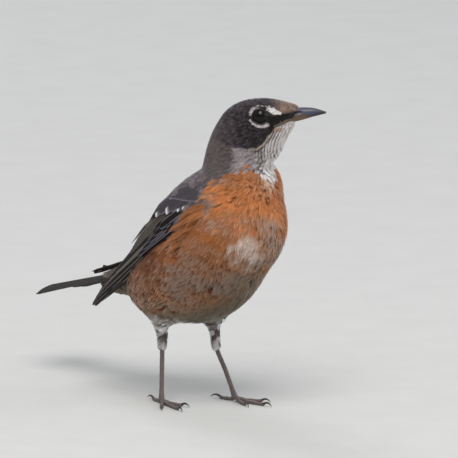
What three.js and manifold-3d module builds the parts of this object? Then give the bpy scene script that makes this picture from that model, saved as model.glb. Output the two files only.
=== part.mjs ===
// A life-size American robin (Turdus migratorius), standing on the floor as a museum model.
// Millimetres, +Z up. The trunk faces -Y with its left side at +X, and the head is turned to the left.
// Until the last lines the floor is z = 0 and the origin lies between the feet; the group is then
// moved so that its origin is the centre of the whole bird's box, on the floor.
import * as THREE from "three";
import { mergeVertices } from "three/addons/utils/BufferGeometryUtils.js";
import Module from "manifold-3d";

const wasm = await Module();
wasm.setup();

// ---- Driving dimensions -------------------------------------------------------------------------
const GAP = 0.35; // clearance between two solids that touch
const SLIVER = 0.05; // facets of the wing coverts thinner than this are merged away
const BLEND = 3; // how softly the lumps of the body run into each other
const FACETS = { around: 24, along: 30, headAround: 20, headAlong: 16 }; // of the coat
const FAN = 0.13; // share of the facets along the body that closes each end

const EYES = new THREE.Vector3(8, -45.2, 169.4); // the point midway between the eyes
const HEAD_YAW = 42; // degrees that the head turns to the left
const HEAD_PITCH = 8; // degrees that the bill points up
const EYE = { radius: 4.9, spread: 8.2 }; // spread: from the middle of the head to each eyeball's centre

// How far ahead of the eyes, and the heights there of the bill's ridge, mouth line and chin.
const BILL = [
  { ahead: 8, ridge: 2.5, mouth: -7, chin: -9 },
  { ahead: 15, ridge: 1.2, mouth: -4.7, chin: -7 },
  { ahead: 21.5, ridge: 0.8, mouth: -3.8, chin: -6.2 },
  { ahead: 28.5, ridge: -0.3, mouth: -3.7, chin: -5 },
  { ahead: 35.3, ridge: -3.1, mouth: -3.6, chin: -4.1 },
];
const BILL_HALF_WIDTH = { root: 5.4, tip: 0.5 };

// Each folded wing has a low edge from the wrist to the tip, and an inner edge along the back.
const WINGS = {
  right: {
    sign: -1,
    low: [[-28, -34, 122], [-33, -13, 102], [-33, 14, 79], [-28, 42, 60], [-22.5, 62, 50], [-19.5, 72, 46.5]],
    inner: [[-14, -26, 138], [-15, -8, 129], [-12, 15, 112], [-12, 36, 92], [-15, 54, 72], [-18.5, 71, 49]],
  },
  left: {
    sign: 1,
    low: [[28, -30, 120], [33, -11, 101], [30, 16, 84], [19, 42, 72], [1, 66, 67.8], [-10.5, 81, 63.6]],
    inner: [[14, -24, 137], [15, -6, 128], [12, 16, 111], [8, 36, 93], [-2, 60, 74], [-12, 80.5, 65.3]],
  },
};
const WING_LIFT = 2.4; // how far a wing stands over the coat
const WING_TUCK = 1.2; // how far its wrist and edges slip under the coat
const WING_DEPTH = { wrist: 3.5, tip: 1.3 };
const WING_QUILLS = { count: 6, step: 0.5 }; // step: height of a quill's edge over the next quill

const TAIL = { root: [0, 44, 69.5], tip: [0, 126.5, 47.3], rootWidth: 14, tipWidth: 33 };
const TAIL_DEPTH = 1.6;
const TAIL_ARCH = 3; // how much the sides of the tail hang below its middle
const TAIL_QUILLS = { count: 6, step: 0.4 };

// Feet on the floor, ankles, and the middle line of each feathered thigh above its ankle.
const LEGS = {
  right: {
    sign: -1,
    toeOut: 14,
    foot: [-18, 10.5],
    ankle: [-12, 17.5, 31],
    thigh: [[-16, 12, 62], [-15.5, 13.5, 48]],
  },
  left: {
    sign: 1,
    toeOut: 10,
    foot: [18, -10.5],
    ankle: [12, -0.5, 30.5],
    thigh: [[11, 0, 62], [11.5, 0.8, 48]],
  },
};
const THIGH_RADIUS = { top: 9, ankle: 2.9 };
const TARSUS_RADIUS = 1.35;
const FOOT_HEIGHT = 3.2; // where the toes leave the tarsus
const TOE_RADIUS = 1.15;
const SOLE = 0.85; // height of a toe's middle line over the floor
const CLAW_RADIUS = { root: 0.75, tip: 0.3 };
// turn: degrees towards the other foot
const TOES = [
  { name: "hind", turn: 180, length: 11.5, claw: 7.5 },
  { name: "inner", turn: 28, length: 14, claw: 5.2 },
  { name: "middle", turn: 0, length: 20.5, claw: 5.8 },
  { name: "outer", turn: -27, length: 15, claw: 5 },
];

const COLOURS = {
  slate: 0x57514d, // back, wings and the sides of the neck
  hood: 0x2b2829, // the dark head
  rust: 0xb5622c, // breast and flanks
  flight: 0x3a3432, // wing and tail quills
  horn: 0x4b4848, // upper half of the bill
  yellowHorn: 0x8f7447, // lower half of the bill
  leg: 0x5a4a44,
  claw: 0x2a2422,
  eye: 0x0d0a0a,
};

// ---- Small tools --------------------------------------------------------------------------------
const point = ([x, y, z]) => new THREE.Vector3(x, y, z);
const mirror = ([x, y, z]) => [-x, y, z];
const curve = (points) => new THREE.CatmullRomCurve3(points.map(point));
const radians = THREE.MathUtils.degToRad;
const { lerp, smoothstep, clamp } = THREE.MathUtils;

// A closed three.js geometry as a solid, and a solid as a geometry again.
function toSolid(geometry) {
  const bare = geometry.clone();
  bare.deleteAttribute("normal");
  bare.deleteAttribute("uv");
  const merged = mergeVertices(bare, 1e-3);
  return new wasm.Manifold(
    new wasm.Mesh({
      numProp: 3,
      vertProperties: merged.attributes.position.array,
      triVerts: new Uint32Array(merged.index.array),
    }),
  );
}

function toGeometry(solid) {
  const { numProp, vertProperties, triVerts } = solid.getMesh();
  const places = new Float32Array((vertProperties.length / numProp) * 3);
  for (let i = 0; i < places.length / 3; i++) {
    places.set(vertProperties.subarray(i * numProp, i * numProp + 3), i * 3);
  }
  const geometry = new THREE.BufferGeometry();
  geometry.setAttribute("position", new THREE.BufferAttribute(places, 3));
  geometry.setIndex(new THREE.BufferAttribute(new Uint32Array(triVerts), 1));
  geometry.computeVertexNormals();
  return geometry;
}

// Moves every vertex of a geometry to where `at` sends its old place and its uv.
function reshape(geometry, at) {
  const places = geometry.attributes.position;
  const uv = geometry.attributes.uv;
  for (let i = 0; i < places.count; i++) {
    const old = new THREE.Vector3().fromBufferAttribute(places, i);
    const moved = at(old, uv.getX(i), uv.getY(i));
    places.setXYZ(i, moved.x, moved.y, moved.z);
  }
  return toSolid(geometry);
}

// A tapering round limb along a curve. radiusAt(s) is a number, or [sideways, up].
function limb(path, radiusAt, { around = 10, along = 12, side = [1, 0, 0] } = {}) {
  const tube = new THREE.CylinderGeometry(1, 1, 1, around, along);
  return reshape(tube, (old) => {
    const s = clamp(0.5 - old.y, 0, 1);
    const tangent = path.getTangent(s);
    const up = tangent.clone().cross(point(side)).normalize();
    const across = up.clone().cross(tangent).normalize();
    const radius = radiusAt(s);
    const [wide, high] = Array.isArray(radius) ? radius : [radius, radius];
    return path.getPoint(s).addScaledVector(across, old.x * wide).addScaledVector(up, old.z * high);
  });
}

// A blade of feathers on surface(s, t), with s from root to tip and t from edge to edge. It goes
// depthAt(s) below the surface, and its quills stand up to stepAt(s) above it.
function blade(surface, depthAt, stepAt, quills, along) {
  const box = new THREE.BoxGeometry(1, 1, 1, along, 2 * quills, 1);
  return reshape(box, (old) => {
    const s = old.x + 0.5;
    const { place, rise } = tile(old.y + 0.5, quills);
    const height = old.z > 0 ? stepAt(s) * rise : -depthAt(s);
    return surface(s, place).addScaledVector(facing(surface, s, place), height);
  });
}

// Quills lie like roof tiles. Each has two facets: the first falls from the quill's raised edge nearly
// to the next quill, and the second steps up onto that one. `rise` is 1 on a raised edge.
function tile(t, quills) {
  const FALL = 0.7; // share of a quill's width that falls
  const halves = Math.round(t * quills * 2);
  if (halves % 2 === 1) return { place: ((halves - 1) / 2 + FALL) / quills, rise: 0 };
  return { place: t, rise: t === 1 ? 0 : 1 };
}

// The direction in which a surface faces at (s, t).
function facing(surface, s, t) {
  const step = 0.02;
  const alongS = surface(Math.min(s + step, 1), t).sub(surface(Math.max(s - step, 0), t));
  const alongT = surface(s, Math.min(t + step, 1)).sub(surface(s, Math.max(t - step, 0)));
  return alongS.cross(alongT).normalize();
}

// The largest piece of a solid, without the crumbs that cutting leaves.
function largest(solid) {
  return solid.decompose().reduce((best, piece) => (piece.volume() > best.volume() ? piece : best));
}

// The part of a solid on the side of a plane that its normal points to, or on the other side, clear
// of the plane.
function ahead(solid, { onPlane, normal }) {
  const n = normal.clone().normalize();
  return solid.trimByPlane(n.toArray(), n.dot(onPlane) + GAP / 2);
}

const behind = (solid, { onPlane, normal }) => ahead(solid, { onPlane, normal: normal.clone().negate() });

// ---- The coat: a smooth union of lumps ----------------------------------------------------------
const BODY = new THREE.Matrix4();
const HEAD = new THREE.Matrix4().compose(
  EYES,
  new THREE.Quaternion().setFromEuler(new THREE.Euler(radians(-HEAD_PITCH), 0, radians(HEAD_YAW), "ZYX")),
  new THREE.Vector3(1, 1, 1),
);

// An ellipsoid in a frame; pitch lifts its -Y end, in degrees.
function lump(frame, centre, radii, pitch = 0) {
  const turn = new THREE.Quaternion().setFromEuler(new THREE.Euler(radians(-pitch), 0, 0));
  const own = new THREE.Matrix4().compose(point(centre), turn, new THREE.Vector3(1, 1, 1));
  const place = frame.clone().multiply(own);
  return { inverse: place.clone().invert(), radii, centre: point(centre).applyMatrix4(frame) };
}

const pair = (frame, centre, radii, pitch) => [
  lump(frame, centre, radii, pitch),
  lump(frame, mirror(centre), radii, pitch),
];

const VENT = lump(BODY, [0, 52, 62.5], [11, 33, 9], 10);
const RUMP = lump(BODY, [0, 29, 77], [18.5, 32, 16.5], 41);
const BELLY = lump(BODY, [0, -4, 79], [31, 44, 31], 27);
const BREAST = lump(BODY, [1.5, -28, 104], [30, 31, 30], 50);
const NECK = lump(BODY, [2.5, -29, 138], [17.5, 17.5, 24], -4);
const CRANIUM = lump(HEAD, [0, 4.5, -2.8], [10.6, 17.5, 10.8]);
const FACE = lump(HEAD, [0, -8, -2.8], [6, 10, 5.2]);
const LUMPS = [
  VENT,
  RUMP,
  BELLY,
  BREAST,
  NECK,
  CRANIUM,
  FACE,
  lump(BODY, [0, 1, 108], [22, 34, 16.5], 46), // mantle, between the wings
  lump(BODY, [6.5, -34, 126], [20, 18, 17]), // crop
  ...pair(BODY, [14, 14, 68], [15, 26, 18], 16), // flanks, over the legs
  lump(HEAD, [0, 13, -13], [11.5, 16, 13]), // nape
  ...pair(HEAD, [3.6, 3, -8], [6.6, 10.5, 7.5]), // cheeks
  lump(HEAD, [0, -4.5, -8], [5, 8.5, 4.5]), // chin
  lump(HEAD, [0, 1, -16], [8.5, 9.5, 11]), // throat
];

function lumpDistance({ inverse, radii }, place) {
  const q = place.clone().applyMatrix4(inverse);
  const share = Math.hypot(q.x / radii[0], q.y / radii[1], q.z / radii[2]);
  const slope = Math.hypot(q.x / radii[0] ** 2, q.y / radii[1] ** 2, q.z / radii[2] ** 2);
  return (share * (share - 1)) / slope;
}

// How far a place is outside the coat, or less than 0 inside it.
function coatDistance(place) {
  const sum = LUMPS.reduce((total, each) => total + Math.exp(-lumpDistance(each, place) / BLEND), 0);
  return -BLEND * Math.log(sum);
}

function coatFacing(place) {
  const step = 0.5;
  const slopeAlong = (axis) =>
    coatDistance(place.clone().addScaledVector(axis, step)) -
    coatDistance(place.clone().addScaledVector(axis, -step));
  return new THREE.Vector3(
    slopeAlong(new THREE.Vector3(1, 0, 0)),
    slopeAlong(new THREE.Vector3(0, 1, 0)),
    slopeAlong(new THREE.Vector3(0, 0, 1)),
  ).normalize();
}

// The middle line of the body, from the vent to the skull.
const SPINE = new THREE.CatmullRomCurve3(
  [VENT, RUMP, BELLY, BREAST, NECK, CRANIUM].map((each) => each.centre),
);

// Trunk and neck, or the surface `clear` outside them: rays go out square to the spine, and fan out
// at its two ends.
function bodyCoat(clear = 0) {
  const ball = new THREE.SphereGeometry(1, FACETS.around, FACETS.along);
  return reshape(ball, (_, u, v) => {
    const s = clamp((v - FAN) / (1 - 2 * FAN), 0, 1);
    const fan = (Math.PI / 2) * (clamp((v - 1) / FAN + 1, 0, 1) - clamp(1 - v / FAN, 0, 1));
    const forward = SPINE.getTangentAt(s);
    const side = new THREE.Vector3(1, 0, 0);
    side.addScaledVector(forward, -side.dot(forward)).normalize();
    const up = forward.clone().cross(side);
    const turn = 2 * Math.PI * u;
    const ray = side.multiplyScalar(Math.cos(turn)).addScaledVector(up, Math.sin(turn));
    ray.multiplyScalar(Math.cos(fan)).addScaledVector(forward, Math.sin(fan));
    return castOut(SPINE.getPointAt(s), ray, clear, Infinity);
  });
}

// Head: rays go out from the middle of the skull, and stop short down the neck.
function headCoat(clear = 0) {
  const ball = new THREE.SphereGeometry(1, FACETS.headAround, FACETS.headAlong);
  const reach = 27;
  return reshape(ball, (old) => castOut(CRANIUM.centre, old.transformDirection(HEAD), clear, reach));
}

// The first place along a ray that is `clear` outside the coat, within reach.
function castOut(start, ray, clear, reach) {
  const at = (distance) => start.clone().addScaledVector(ray, distance);
  const stride = 1;
  let far = stride;
  while (coatDistance(at(far)) < clear && far < reach) far += stride;
  let near = far - stride;
  for (let i = 0; i < 20; i++) {
    const middle = (near + far) / 2;
    if (coatDistance(at(middle)) < clear) near = middle;
    else far = middle;
  }
  return at(far);
}

// ---- Head, neck, trunk and rump, parted by thin cuts ----------------------------------------------
// Each plane faces the head.
const NECK_TOP = {
  onPlane: new THREE.Vector3(0, 5, -15).applyMatrix4(HEAD),
  normal: new THREE.Vector3(0, -0.5, 0.85).transformDirection(HEAD),
};
const NECK_FOOT = { onPlane: point([2, -28, 131]), normal: point([0, -0.1, 1]) };
const TRUNK_END = { onPlane: point([0, 26, 76]), normal: point([0, -0.9, 0.35]) };

function eyeball(sign, clear = 0) {
  const centre = new THREE.Vector3(sign * EYE.spread, 0, 0).applyMatrix4(HEAD);
  const ball = new THREE.SphereGeometry(EYE.radius + clear, 14, 10);
  return toSolid(ball).translate(centre.toArray());
}

const body = bodyCoat();
const aroundBody = bodyCoat(GAP).add(body);
const aroundHead = headCoat(GAP);
const head = ahead(headCoat(), NECK_TOP).subtract(eyeball(1, GAP)).subtract(eyeball(-1, GAP));
const neck = ahead(behind(body, NECK_TOP), NECK_FOOT);
const trunk = ahead(behind(body, NECK_FOOT), TRUNK_END);
const rump = behind(body, TRUNK_END);

// ---- Bill -----------------------------------------------------------------------------------------
function billLine(edge) {
  return new THREE.SplineCurve(BILL.map((row) => new THREE.Vector2(row.ahead, row[edge])));
}

// Half of the bill: round on the side of `edge`, and flat along the mouth line.
function mandible(edge) {
  const outline = billLine(edge);
  const mouth = billLine("mouth");
  const side = edge === "ridge" ? 1 : -1;
  const tube = new THREE.CylinderGeometry(1, 1, 1, 12, 11);
  const solid = reshape(tube, (old) => {
    const s = clamp(0.5 - old.y, 0, 1);
    const flat = mouth.getPoint(s).y + (side * GAP) / 2;
    const height = flat + (outline.getPoint(s).y - flat) * Math.max(old.z * side, 0);
    const halfWidth = lerp(BILL_HALF_WIDTH.root, BILL_HALF_WIDTH.tip, s ** 0.8);
    return new THREE.Vector3(old.x * halfWidth, -outline.getPoint(s).x, height).applyMatrix4(HEAD);
  });
  return solid.subtract(aroundHead);
}

// ---- Wings ----------------------------------------------------------------------------------------
// How far the outside of a wing stands over the coat. It starts under the coat at the wrist, and its
// edges slip under the flank and the mantle until the quills leave the body.
function wingLift(s, across) {
  const tucked = smoothstep(across, 0, 0.2) * (1 - smoothstep(across, 0.75, 1));
  const edges = lerp(tucked, 1, smoothstep(s, 0.4, 0.65));
  return lerp(-WING_TUCK, WING_LIFT, smoothstep(s, 0, 0.25) * edges);
}

// The outside of a wing. It bulges between its edges, is held to the coat as far as the coverts
// reach, and stays clear of the coat beyond them.
function wingSurface({ sign, low, inner }) {
  const BULGE = [sign * 3.2, 1.2, 1.6];
  const lowEdge = curve(low);
  const innerEdge = curve(inner);
  return (s, across) => {
    const place = lowEdge.getPoint(s).lerp(innerEdge.getPoint(s), across);
    place.addScaledVector(point(BULGE), Math.sin(Math.PI * across) * Math.sqrt(1 - s));
    for (let i = 0; i < 3; i++) {
      const short = wingLift(s, across) - coatDistance(place);
      const held = short > 0 ? 1 : 1 - smoothstep(s, 0.4, 0.6);
      place.addScaledVector(coatFacing(place), short * held);
    }
    return place;
  };
}

// A plane through two places on a wing and square to it, facing `towards`.
function wingCut(from, to, outward, towards) {
  const normal = to.clone().sub(from).cross(outward);
  if (normal.dot(towards.clone().sub(from)) < 0) normal.negate();
  return { onPlane: from, normal };
}

function wing(shape) {
  const at = wingSurface(shape);
  const surface = shape.sign < 0 ? at : (s, t) => at(s, 1 - t);
  const depthAt = (s) => lerp(WING_DEPTH.wrist, WING_DEPTH.tip, smoothstep(s, 0.2, 0.8));
  const stepAt = (s) => WING_QUILLS.step * smoothstep(s, 0.3, 0.5);
  const whole = blade(surface, depthAt, stepAt, WING_QUILLS.count, 11).subtract(aroundBody);
  const outward = facing(surface, 0.45, 0.5);
  const covertTips = wingCut(at(0.42, 0.1), at(0.36, 0.9), outward, at(1, 0.5));
  const longestQuill = wingCut(at(0.44, 0.22), at(0.8, 0.95), outward, at(0.5, 1));
  const quills = ahead(whole, covertTips);
  return {
    coverts: behind(whole, covertTips).simplify(SLIVER),
    secondaries: ahead(quills, longestQuill),
    primaries: behind(quills, longestQuill),
  };
}

// ---- Tail -----------------------------------------------------------------------------------------
// The tail, or the space `clear` around it. Its tip is notched, with round corners.
function tail(clear = 0) {
  const root = point(TAIL.root);
  const tip = point(TAIL.tip);
  const up = new THREE.Vector3(1, 0, 0).cross(tip.clone().sub(root)).normalize();
  const surface = (s, t) => {
    const across = 2 * t - 1;
    const halfWidth = lerp(TAIL.rootWidth, TAIL.tipWidth, s ** 0.8) / 2;
    const length = 1 - 0.035 * across ** 4 - 0.012 * Math.exp(-((across / 0.25) ** 2));
    const drop = TAIL_ARCH * across ** 2 * lerp(0.5, 1, s);
    const place = root.clone().lerp(tip, s * length);
    place.x += across * halfWidth;
    return place.addScaledVector(up, TAIL_DEPTH / 2 - drop + clear);
  };
  return blade(surface, () => TAIL_DEPTH + 2 * clear, () => TAIL_QUILLS.step, TAIL_QUILLS.count, 8);
}

// ---- Legs -----------------------------------------------------------------------------------------
function aboveFloor(solid) {
  return solid.trimByPlane([0, 0, 1], 0);
}

// A toe runs out level from under the tarsus, and its claw arches down to the floor.
function toe(shape, { turn, length, claw }) {
  const heading = radians(shape.sign * (shape.toeOut - turn));
  const out = (distance, height) => {
    const [x, y] = shape.foot;
    return [x + distance * Math.sin(heading), y - distance * Math.cos(heading), height];
  };
  const fleshLine = curve([
    out(-0.5, FOOT_HEIGHT - 0.6),
    out(0.22 * length, SOLE + 0.5),
    out(0.6 * length, SOLE),
    out(length, SOLE),
  ]);
  const clawLine = curve([
    out(length + 0.5, SOLE + 0.5),
    out(length + 0.35 * claw, SOLE + 1.3),
    out(length + 0.72 * claw, SOLE + 0.7),
    out(length + 0.92 * claw, 0.5),
  ]);
  const side = [0, 0, 1];
  const knuckles = (s) => TOE_RADIUS * (1 - 0.2 * s) * (1 + 0.1 * Math.cos(s * 6 * Math.PI));
  const taper = (s) => lerp(CLAW_RADIUS.root, CLAW_RADIUS.tip, s);
  return {
    flesh: limb(fleshLine, knuckles, { around: 6, along: 6, side }),
    claw: aboveFloor(limb(clawLine, taper, { around: 6, along: 4, side })),
  };
}

function leg(shape) {
  const ankle = point(shape.ankle);
  const [footX, footY] = shape.foot;
  const top = new THREE.Vector3(footX, footY + 0.5, FOOT_HEIGHT);
  const thighLine = curve([...shape.thigh, shape.ankle]);
  const thighRadius = (s) => lerp(THIGH_RADIUS.top, THIGH_RADIUS.ankle, smoothstep(s, 0, 0.92));
  const thigh = limb(thighLine, thighRadius, { around: 12, along: 8 }).subtract(aroundBody);

  const tarsusLine = new THREE.LineCurve3(ankle, top);
  const swell = (s) => 1 + 0.4 * smoothstep(s, 0.85, 1) + 0.35 * (1 - smoothstep(s, 0, 0.15));
  const tarsusRadius = (s) => [TARSUS_RADIUS * 0.85 * swell(s), TARSUS_RADIUS * swell(s)];
  const tarsus = limb(tarsusLine, tarsusRadius, { around: 8, along: 6 });

  let foot = toSolid(new THREE.SphereGeometry(2.2, 8, 6)).translate([footX, footY, SOLE + 0.9]);
  const claws = {};
  for (const digit of TOES) {
    const { flesh, claw } = toe(shape, digit);
    foot = foot.add(flesh);
    claws[digit.name] = claw;
  }
  const down = tarsusLine.getTangent(0);
  const footTop = { onPlane: top.clone().addScaledVector(down, -1.2), normal: down };
  const ankleCut = { onPlane: ankle.clone().addScaledVector(down, 0.3), normal: down };
  return {
    thigh: behind(thigh, ankleCut),
    tarsus: behind(ahead(tarsus, ankleCut), footTop),
    foot: ahead(aboveFloor(foot), footTop),
    claws,
  };
}

// ---- Assembly -------------------------------------------------------------------------------------
const robin = new THREE.Group();

function show(name, solid, colour, roughness = 0.9) {
  const material = new THREE.MeshStandardMaterial({ color: colour, roughness, metalness: 0 });
  const mesh = new THREE.Mesh(toGeometry(largest(solid)), material);
  mesh.name = name;
  robin.add(mesh);
}

show("head", head, COLOURS.hood);
show("neck", neck, COLOURS.slate);
show("trunk", trunk, COLOURS.rust);
show("rump", rump, COLOURS.slate);
show("bill_upper", mandible("ridge"), COLOURS.horn, 0.35);
show("bill_lower", mandible("chin"), COLOURS.yellowHorn, 0.35);
show("tail", tail().subtract(aroundBody), COLOURS.flight);

const aroundTail = tail(GAP);
for (const side of ["right", "left"]) {
  show(`eye_${side}`, eyeball(WINGS[side].sign), COLOURS.eye, 0.05);
  const { coverts, secondaries, primaries } = wing(WINGS[side]);
  show(`wing_${side}_coverts`, coverts, COLOURS.slate);
  show(`wing_${side}_secondaries`, secondaries.subtract(aroundTail), COLOURS.flight);
  show(`wing_${side}_primaries`, primaries.subtract(aroundTail), COLOURS.flight);
  const { thigh, tarsus, foot, claws } = leg(LEGS[side]);
  show(`thigh_${side}`, thigh, COLOURS.slate);
  show(`tarsus_${side}`, tarsus, COLOURS.leg, 0.6);
  show(`foot_${side}`, foot, COLOURS.leg, 0.6);
  for (const [digit, claw] of Object.entries(claws)) {
    show(`claw_${side}_${digit}`, claw, COLOURS.claw, 0.4);
  }
}

const box = new THREE.Box3().setFromObject(robin);
robin.position.set(-(box.min.x + box.max.x) / 2, -(box.min.y + box.max.y) / 2, -box.min.z);

export default robin;
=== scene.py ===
"""The looks of a life-size model of an American robin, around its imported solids.

Shapes are worked out in millimetres in the bird's own frame, where the floor is z = 0, the trunk
faces -Y and its left side is at +X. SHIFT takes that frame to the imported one.
"""
import heapq
import math

import bpy
import numpy as np
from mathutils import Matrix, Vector
from mathutils.kdtree import KDTree


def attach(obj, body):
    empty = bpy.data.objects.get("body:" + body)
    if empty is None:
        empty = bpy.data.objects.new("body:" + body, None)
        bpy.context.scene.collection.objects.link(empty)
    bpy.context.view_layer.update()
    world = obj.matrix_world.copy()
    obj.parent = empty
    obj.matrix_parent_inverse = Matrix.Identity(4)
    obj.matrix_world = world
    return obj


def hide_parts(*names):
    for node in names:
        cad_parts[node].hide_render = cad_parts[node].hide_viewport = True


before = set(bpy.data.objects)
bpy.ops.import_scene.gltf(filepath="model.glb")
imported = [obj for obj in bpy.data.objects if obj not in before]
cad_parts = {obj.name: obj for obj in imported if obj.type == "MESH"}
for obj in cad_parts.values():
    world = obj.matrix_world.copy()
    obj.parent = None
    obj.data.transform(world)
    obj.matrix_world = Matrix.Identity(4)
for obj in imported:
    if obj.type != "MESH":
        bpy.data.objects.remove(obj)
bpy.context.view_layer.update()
rng = np.random.default_rng(7)

SHIFT = np.array([0.074, -27.463, 0.0])
BLEND = 3.0
EYES = np.array([8, -45.2, 169.4])
EYE_RADIUS = 4.9
EYE_SPREAD = 8.2
SIDES = {"right": -1, "left": 1}


# ---- Small tools ----
def to_frame(places):
    return (np.asarray(places, float) + SHIFT) / 1000


def smooth(x, low, high):
    x = np.clip((x - low) / (high - low), 0, 1)
    return x * x * (3 - 2 * x)


def fade(x, low, high):
    return 1 - smooth(x, low, high)


def bell(x, width):
    return np.exp(-((x / width) ** 2))


def around(count):
    """Angles evenly round a circle."""
    return np.linspace(0, 2 * np.pi, count, endpoint=False)


def unit(v):
    return v / (np.linalg.norm(v, axis=-1, keepdims=True) + 1e-12)


def turn(axis, degrees):
    c, s = math.cos(math.radians(degrees)), math.sin(math.radians(degrees))
    if axis == "x":
        return np.array([[1, 0, 0], [0, c, -s], [0, s, c]])
    return np.array([[c, -s, 0], [s, c, 0], [0, 0, 1]])


def spline(points, s):
    """A centripetal Catmull-Rom curve through points, at s from 0 to 1."""
    p = np.array(points, float)
    last = len(p) - 1
    p = np.vstack([2 * p[0] - p[1], p, 2 * p[-1] - p[-2]])
    x = np.clip(np.asarray(s, float), 0, 1) * last
    i = np.minimum(np.floor(x).astype(int), last - 1)
    w = (x - i)[:, None]
    a, b, c, d = p[i], p[i + 1], p[i + 2], p[i + 3]

    def gap(u, v):
        return np.maximum(np.linalg.norm(u - v, axis=1), 1e-4)[:, None] ** 0.5

    d0, d1, d2 = gap(a, b), gap(b, c), gap(c, d)
    t1 = ((b - a) / d0 - (c - a) / (d0 + d1) + (c - b) / d1) * d1
    t2 = ((c - b) / d1 - (d - b) / (d1 + d2) + (d - c) / d2) * d1
    return b + t1 * w + (-3 * b + 3 * c - 2 * t1 - t2) * w**2 + (2 * b - 2 * c + t1 + t2) * w**3


def srgb(r, g, b):
    """A colour of 0 to 255 a channel, as the shader's linear numbers."""
    c = np.array([r, g, b], float) / 255
    return np.where(c <= 0.04045, c / 12.92, ((c + 0.055) / 1.055) ** 2.4)


def mix(a, b, w):
    w = np.asarray(w, float)
    if np.ndim(a) > 1 or np.ndim(b) > 1 or w.ndim > 0:
        w = w[..., None]
    return a * (1 - w) + b * w


def ripple(places, size, seed=0):
    """A soft pattern from 0 to 1 over space, with patches about `size` across."""
    local = np.random.default_rng(1000 + seed)
    total = 0
    for _ in range(5):
        wave = unit(local.normal(size=3)) * local.uniform(0.7, 1.5) * 2 * math.pi / (2.2 * size)
        total = total + np.sin(places @ wave + local.uniform(0, 6.28))
    return np.clip(0.5 + total / 6, 0, 1)


# ---- The form: a smooth union of lumps ----
HEAD_TURN = turn("z", 42) @ turn("x", -8)
BODY = (np.eye(3), np.zeros(3))
HEAD = (HEAD_TURN, EYES)
LUMPS = [
    (BODY, (0, 52, 62.5), (11, 33, 9), 10),
    (BODY, (0, 29, 77), (18.5, 32, 16.5), 41),
    (BODY, (0, -4, 79), (31, 44, 31), 27),
    (BODY, (1.5, -28, 104), (30, 31, 30), 50),
    (BODY, (2.5, -29, 138), (17.5, 17.5, 24), -4),
    (HEAD, (0, 4.5, -2.8), (10.6, 17.5, 10.8), 0),
    (HEAD, (0, -8, -2.8), (6, 10, 5.2), 0),
    (BODY, (0, 1, 108), (22, 34, 16.5), 46),
    (BODY, (6.5, -34, 126), (20, 18, 17), 0),
    (BODY, (14, 14, 68), (15, 26, 18), 16),
    (BODY, (-14, 14, 68), (15, 26, 18), 16),
    (HEAD, (0, 13, -13), (11.5, 16, 13), 0),
    (HEAD, (3.6, 3, -8), (6.6, 10.5, 7.5), 0),
    (HEAD, (-3.6, 3, -8), (6.6, 10.5, 7.5), 0),
    (HEAD, (0, -4.5, -8), (5, 8.5, 4.5), 0),
    (HEAD, (0, 1, -16), (8.5, 9.5, 11), 0),
    (HEAD, (0, -15.2, -0.5), (3.1, 5.0, 1.8), 0),
]
LEGS = {
    "right": {"foot": (-18, 10.5), "ankle": (-12, 17.5, 31), "toe_out": 14,
              "thigh": [(-16, 12, 62), (-15.5, 13.5, 48), (-12, 17.5, 31)]},
    "left": {"foot": (18, -10.5), "ankle": (12, -0.5, 30.5), "toe_out": 10,
             "thigh": [(11, 0, 62), (11.5, 0.8, 48), (12, -0.5, 30.5)]},
}
THIGH_RADIUS = (9, 2.7)


def lump_parts(places):
    """How far places are outside each lump, with the direction away from it."""
    for (basis, origin), centre, radii, pitch in LUMPS:
        own = basis @ turn("x", -pitch)
        q = (places - (basis @ np.array(centre, float) + origin)) @ own
        radii = np.array(radii, float)
        a = q / radii
        share = np.sqrt((a * a).sum(1)) + 1e-9
        b = a / radii
        slope = np.sqrt((b * b).sum(1)) + 1e-9
        yield share * (share - 1) / slope, (b / slope[:, None]) @ own.T
    s = np.linspace(0, 1, 15)
    wide, narrow = THIGH_RADIUS
    radius = wide + (narrow - wide) * smooth(s, 0, 0.92)
    for leg in LEGS.values():
        line = spline(leg["thigh"], s)
        best = np.full(len(places), 1e9)
        away = np.zeros_like(places)
        for i in range(14):
            span = line[i + 1] - line[i]
            t = np.clip(((places - line[i]) @ span) / (span @ span), 0, 1)
            out = places - (line[i] + t[:, None] * span)
            reach = np.linalg.norm(out, axis=1)
            here = reach - (radius[i] + (radius[i + 1] - radius[i]) * t)
            closer = here < best
            best = np.where(closer, here, best)
            away[closer] = out[closer] / (reach[closer, None] + 1e-9)
        yield best, away


def coat(places):
    """How far places are outside the coat in mm, and the direction away from it."""
    total = np.zeros(len(places))
    away = np.zeros_like(places)
    for distance, direction in lump_parts(places):
        w = np.exp(np.clip(-distance / BLEND, -60, 60))
        total += w
        away += w[:, None] * direction
    return -BLEND * np.log(total), unit(away)


def settle(places, level, steps=2):
    """Places moved square to the coat until they are `level` outside it."""
    for _ in range(steps):
        distance, away = coat(places)
        places = places + away * (level - distance)[:, None]
    return places


def in_head(places):
    """Places in the head's frame: out from its middle plane, ahead of the eyes, and above them."""
    q = (places - EYES) @ HEAD_TURN
    return np.abs(q[:, 0]), -q[:, 1], q[:, 2]


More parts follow.
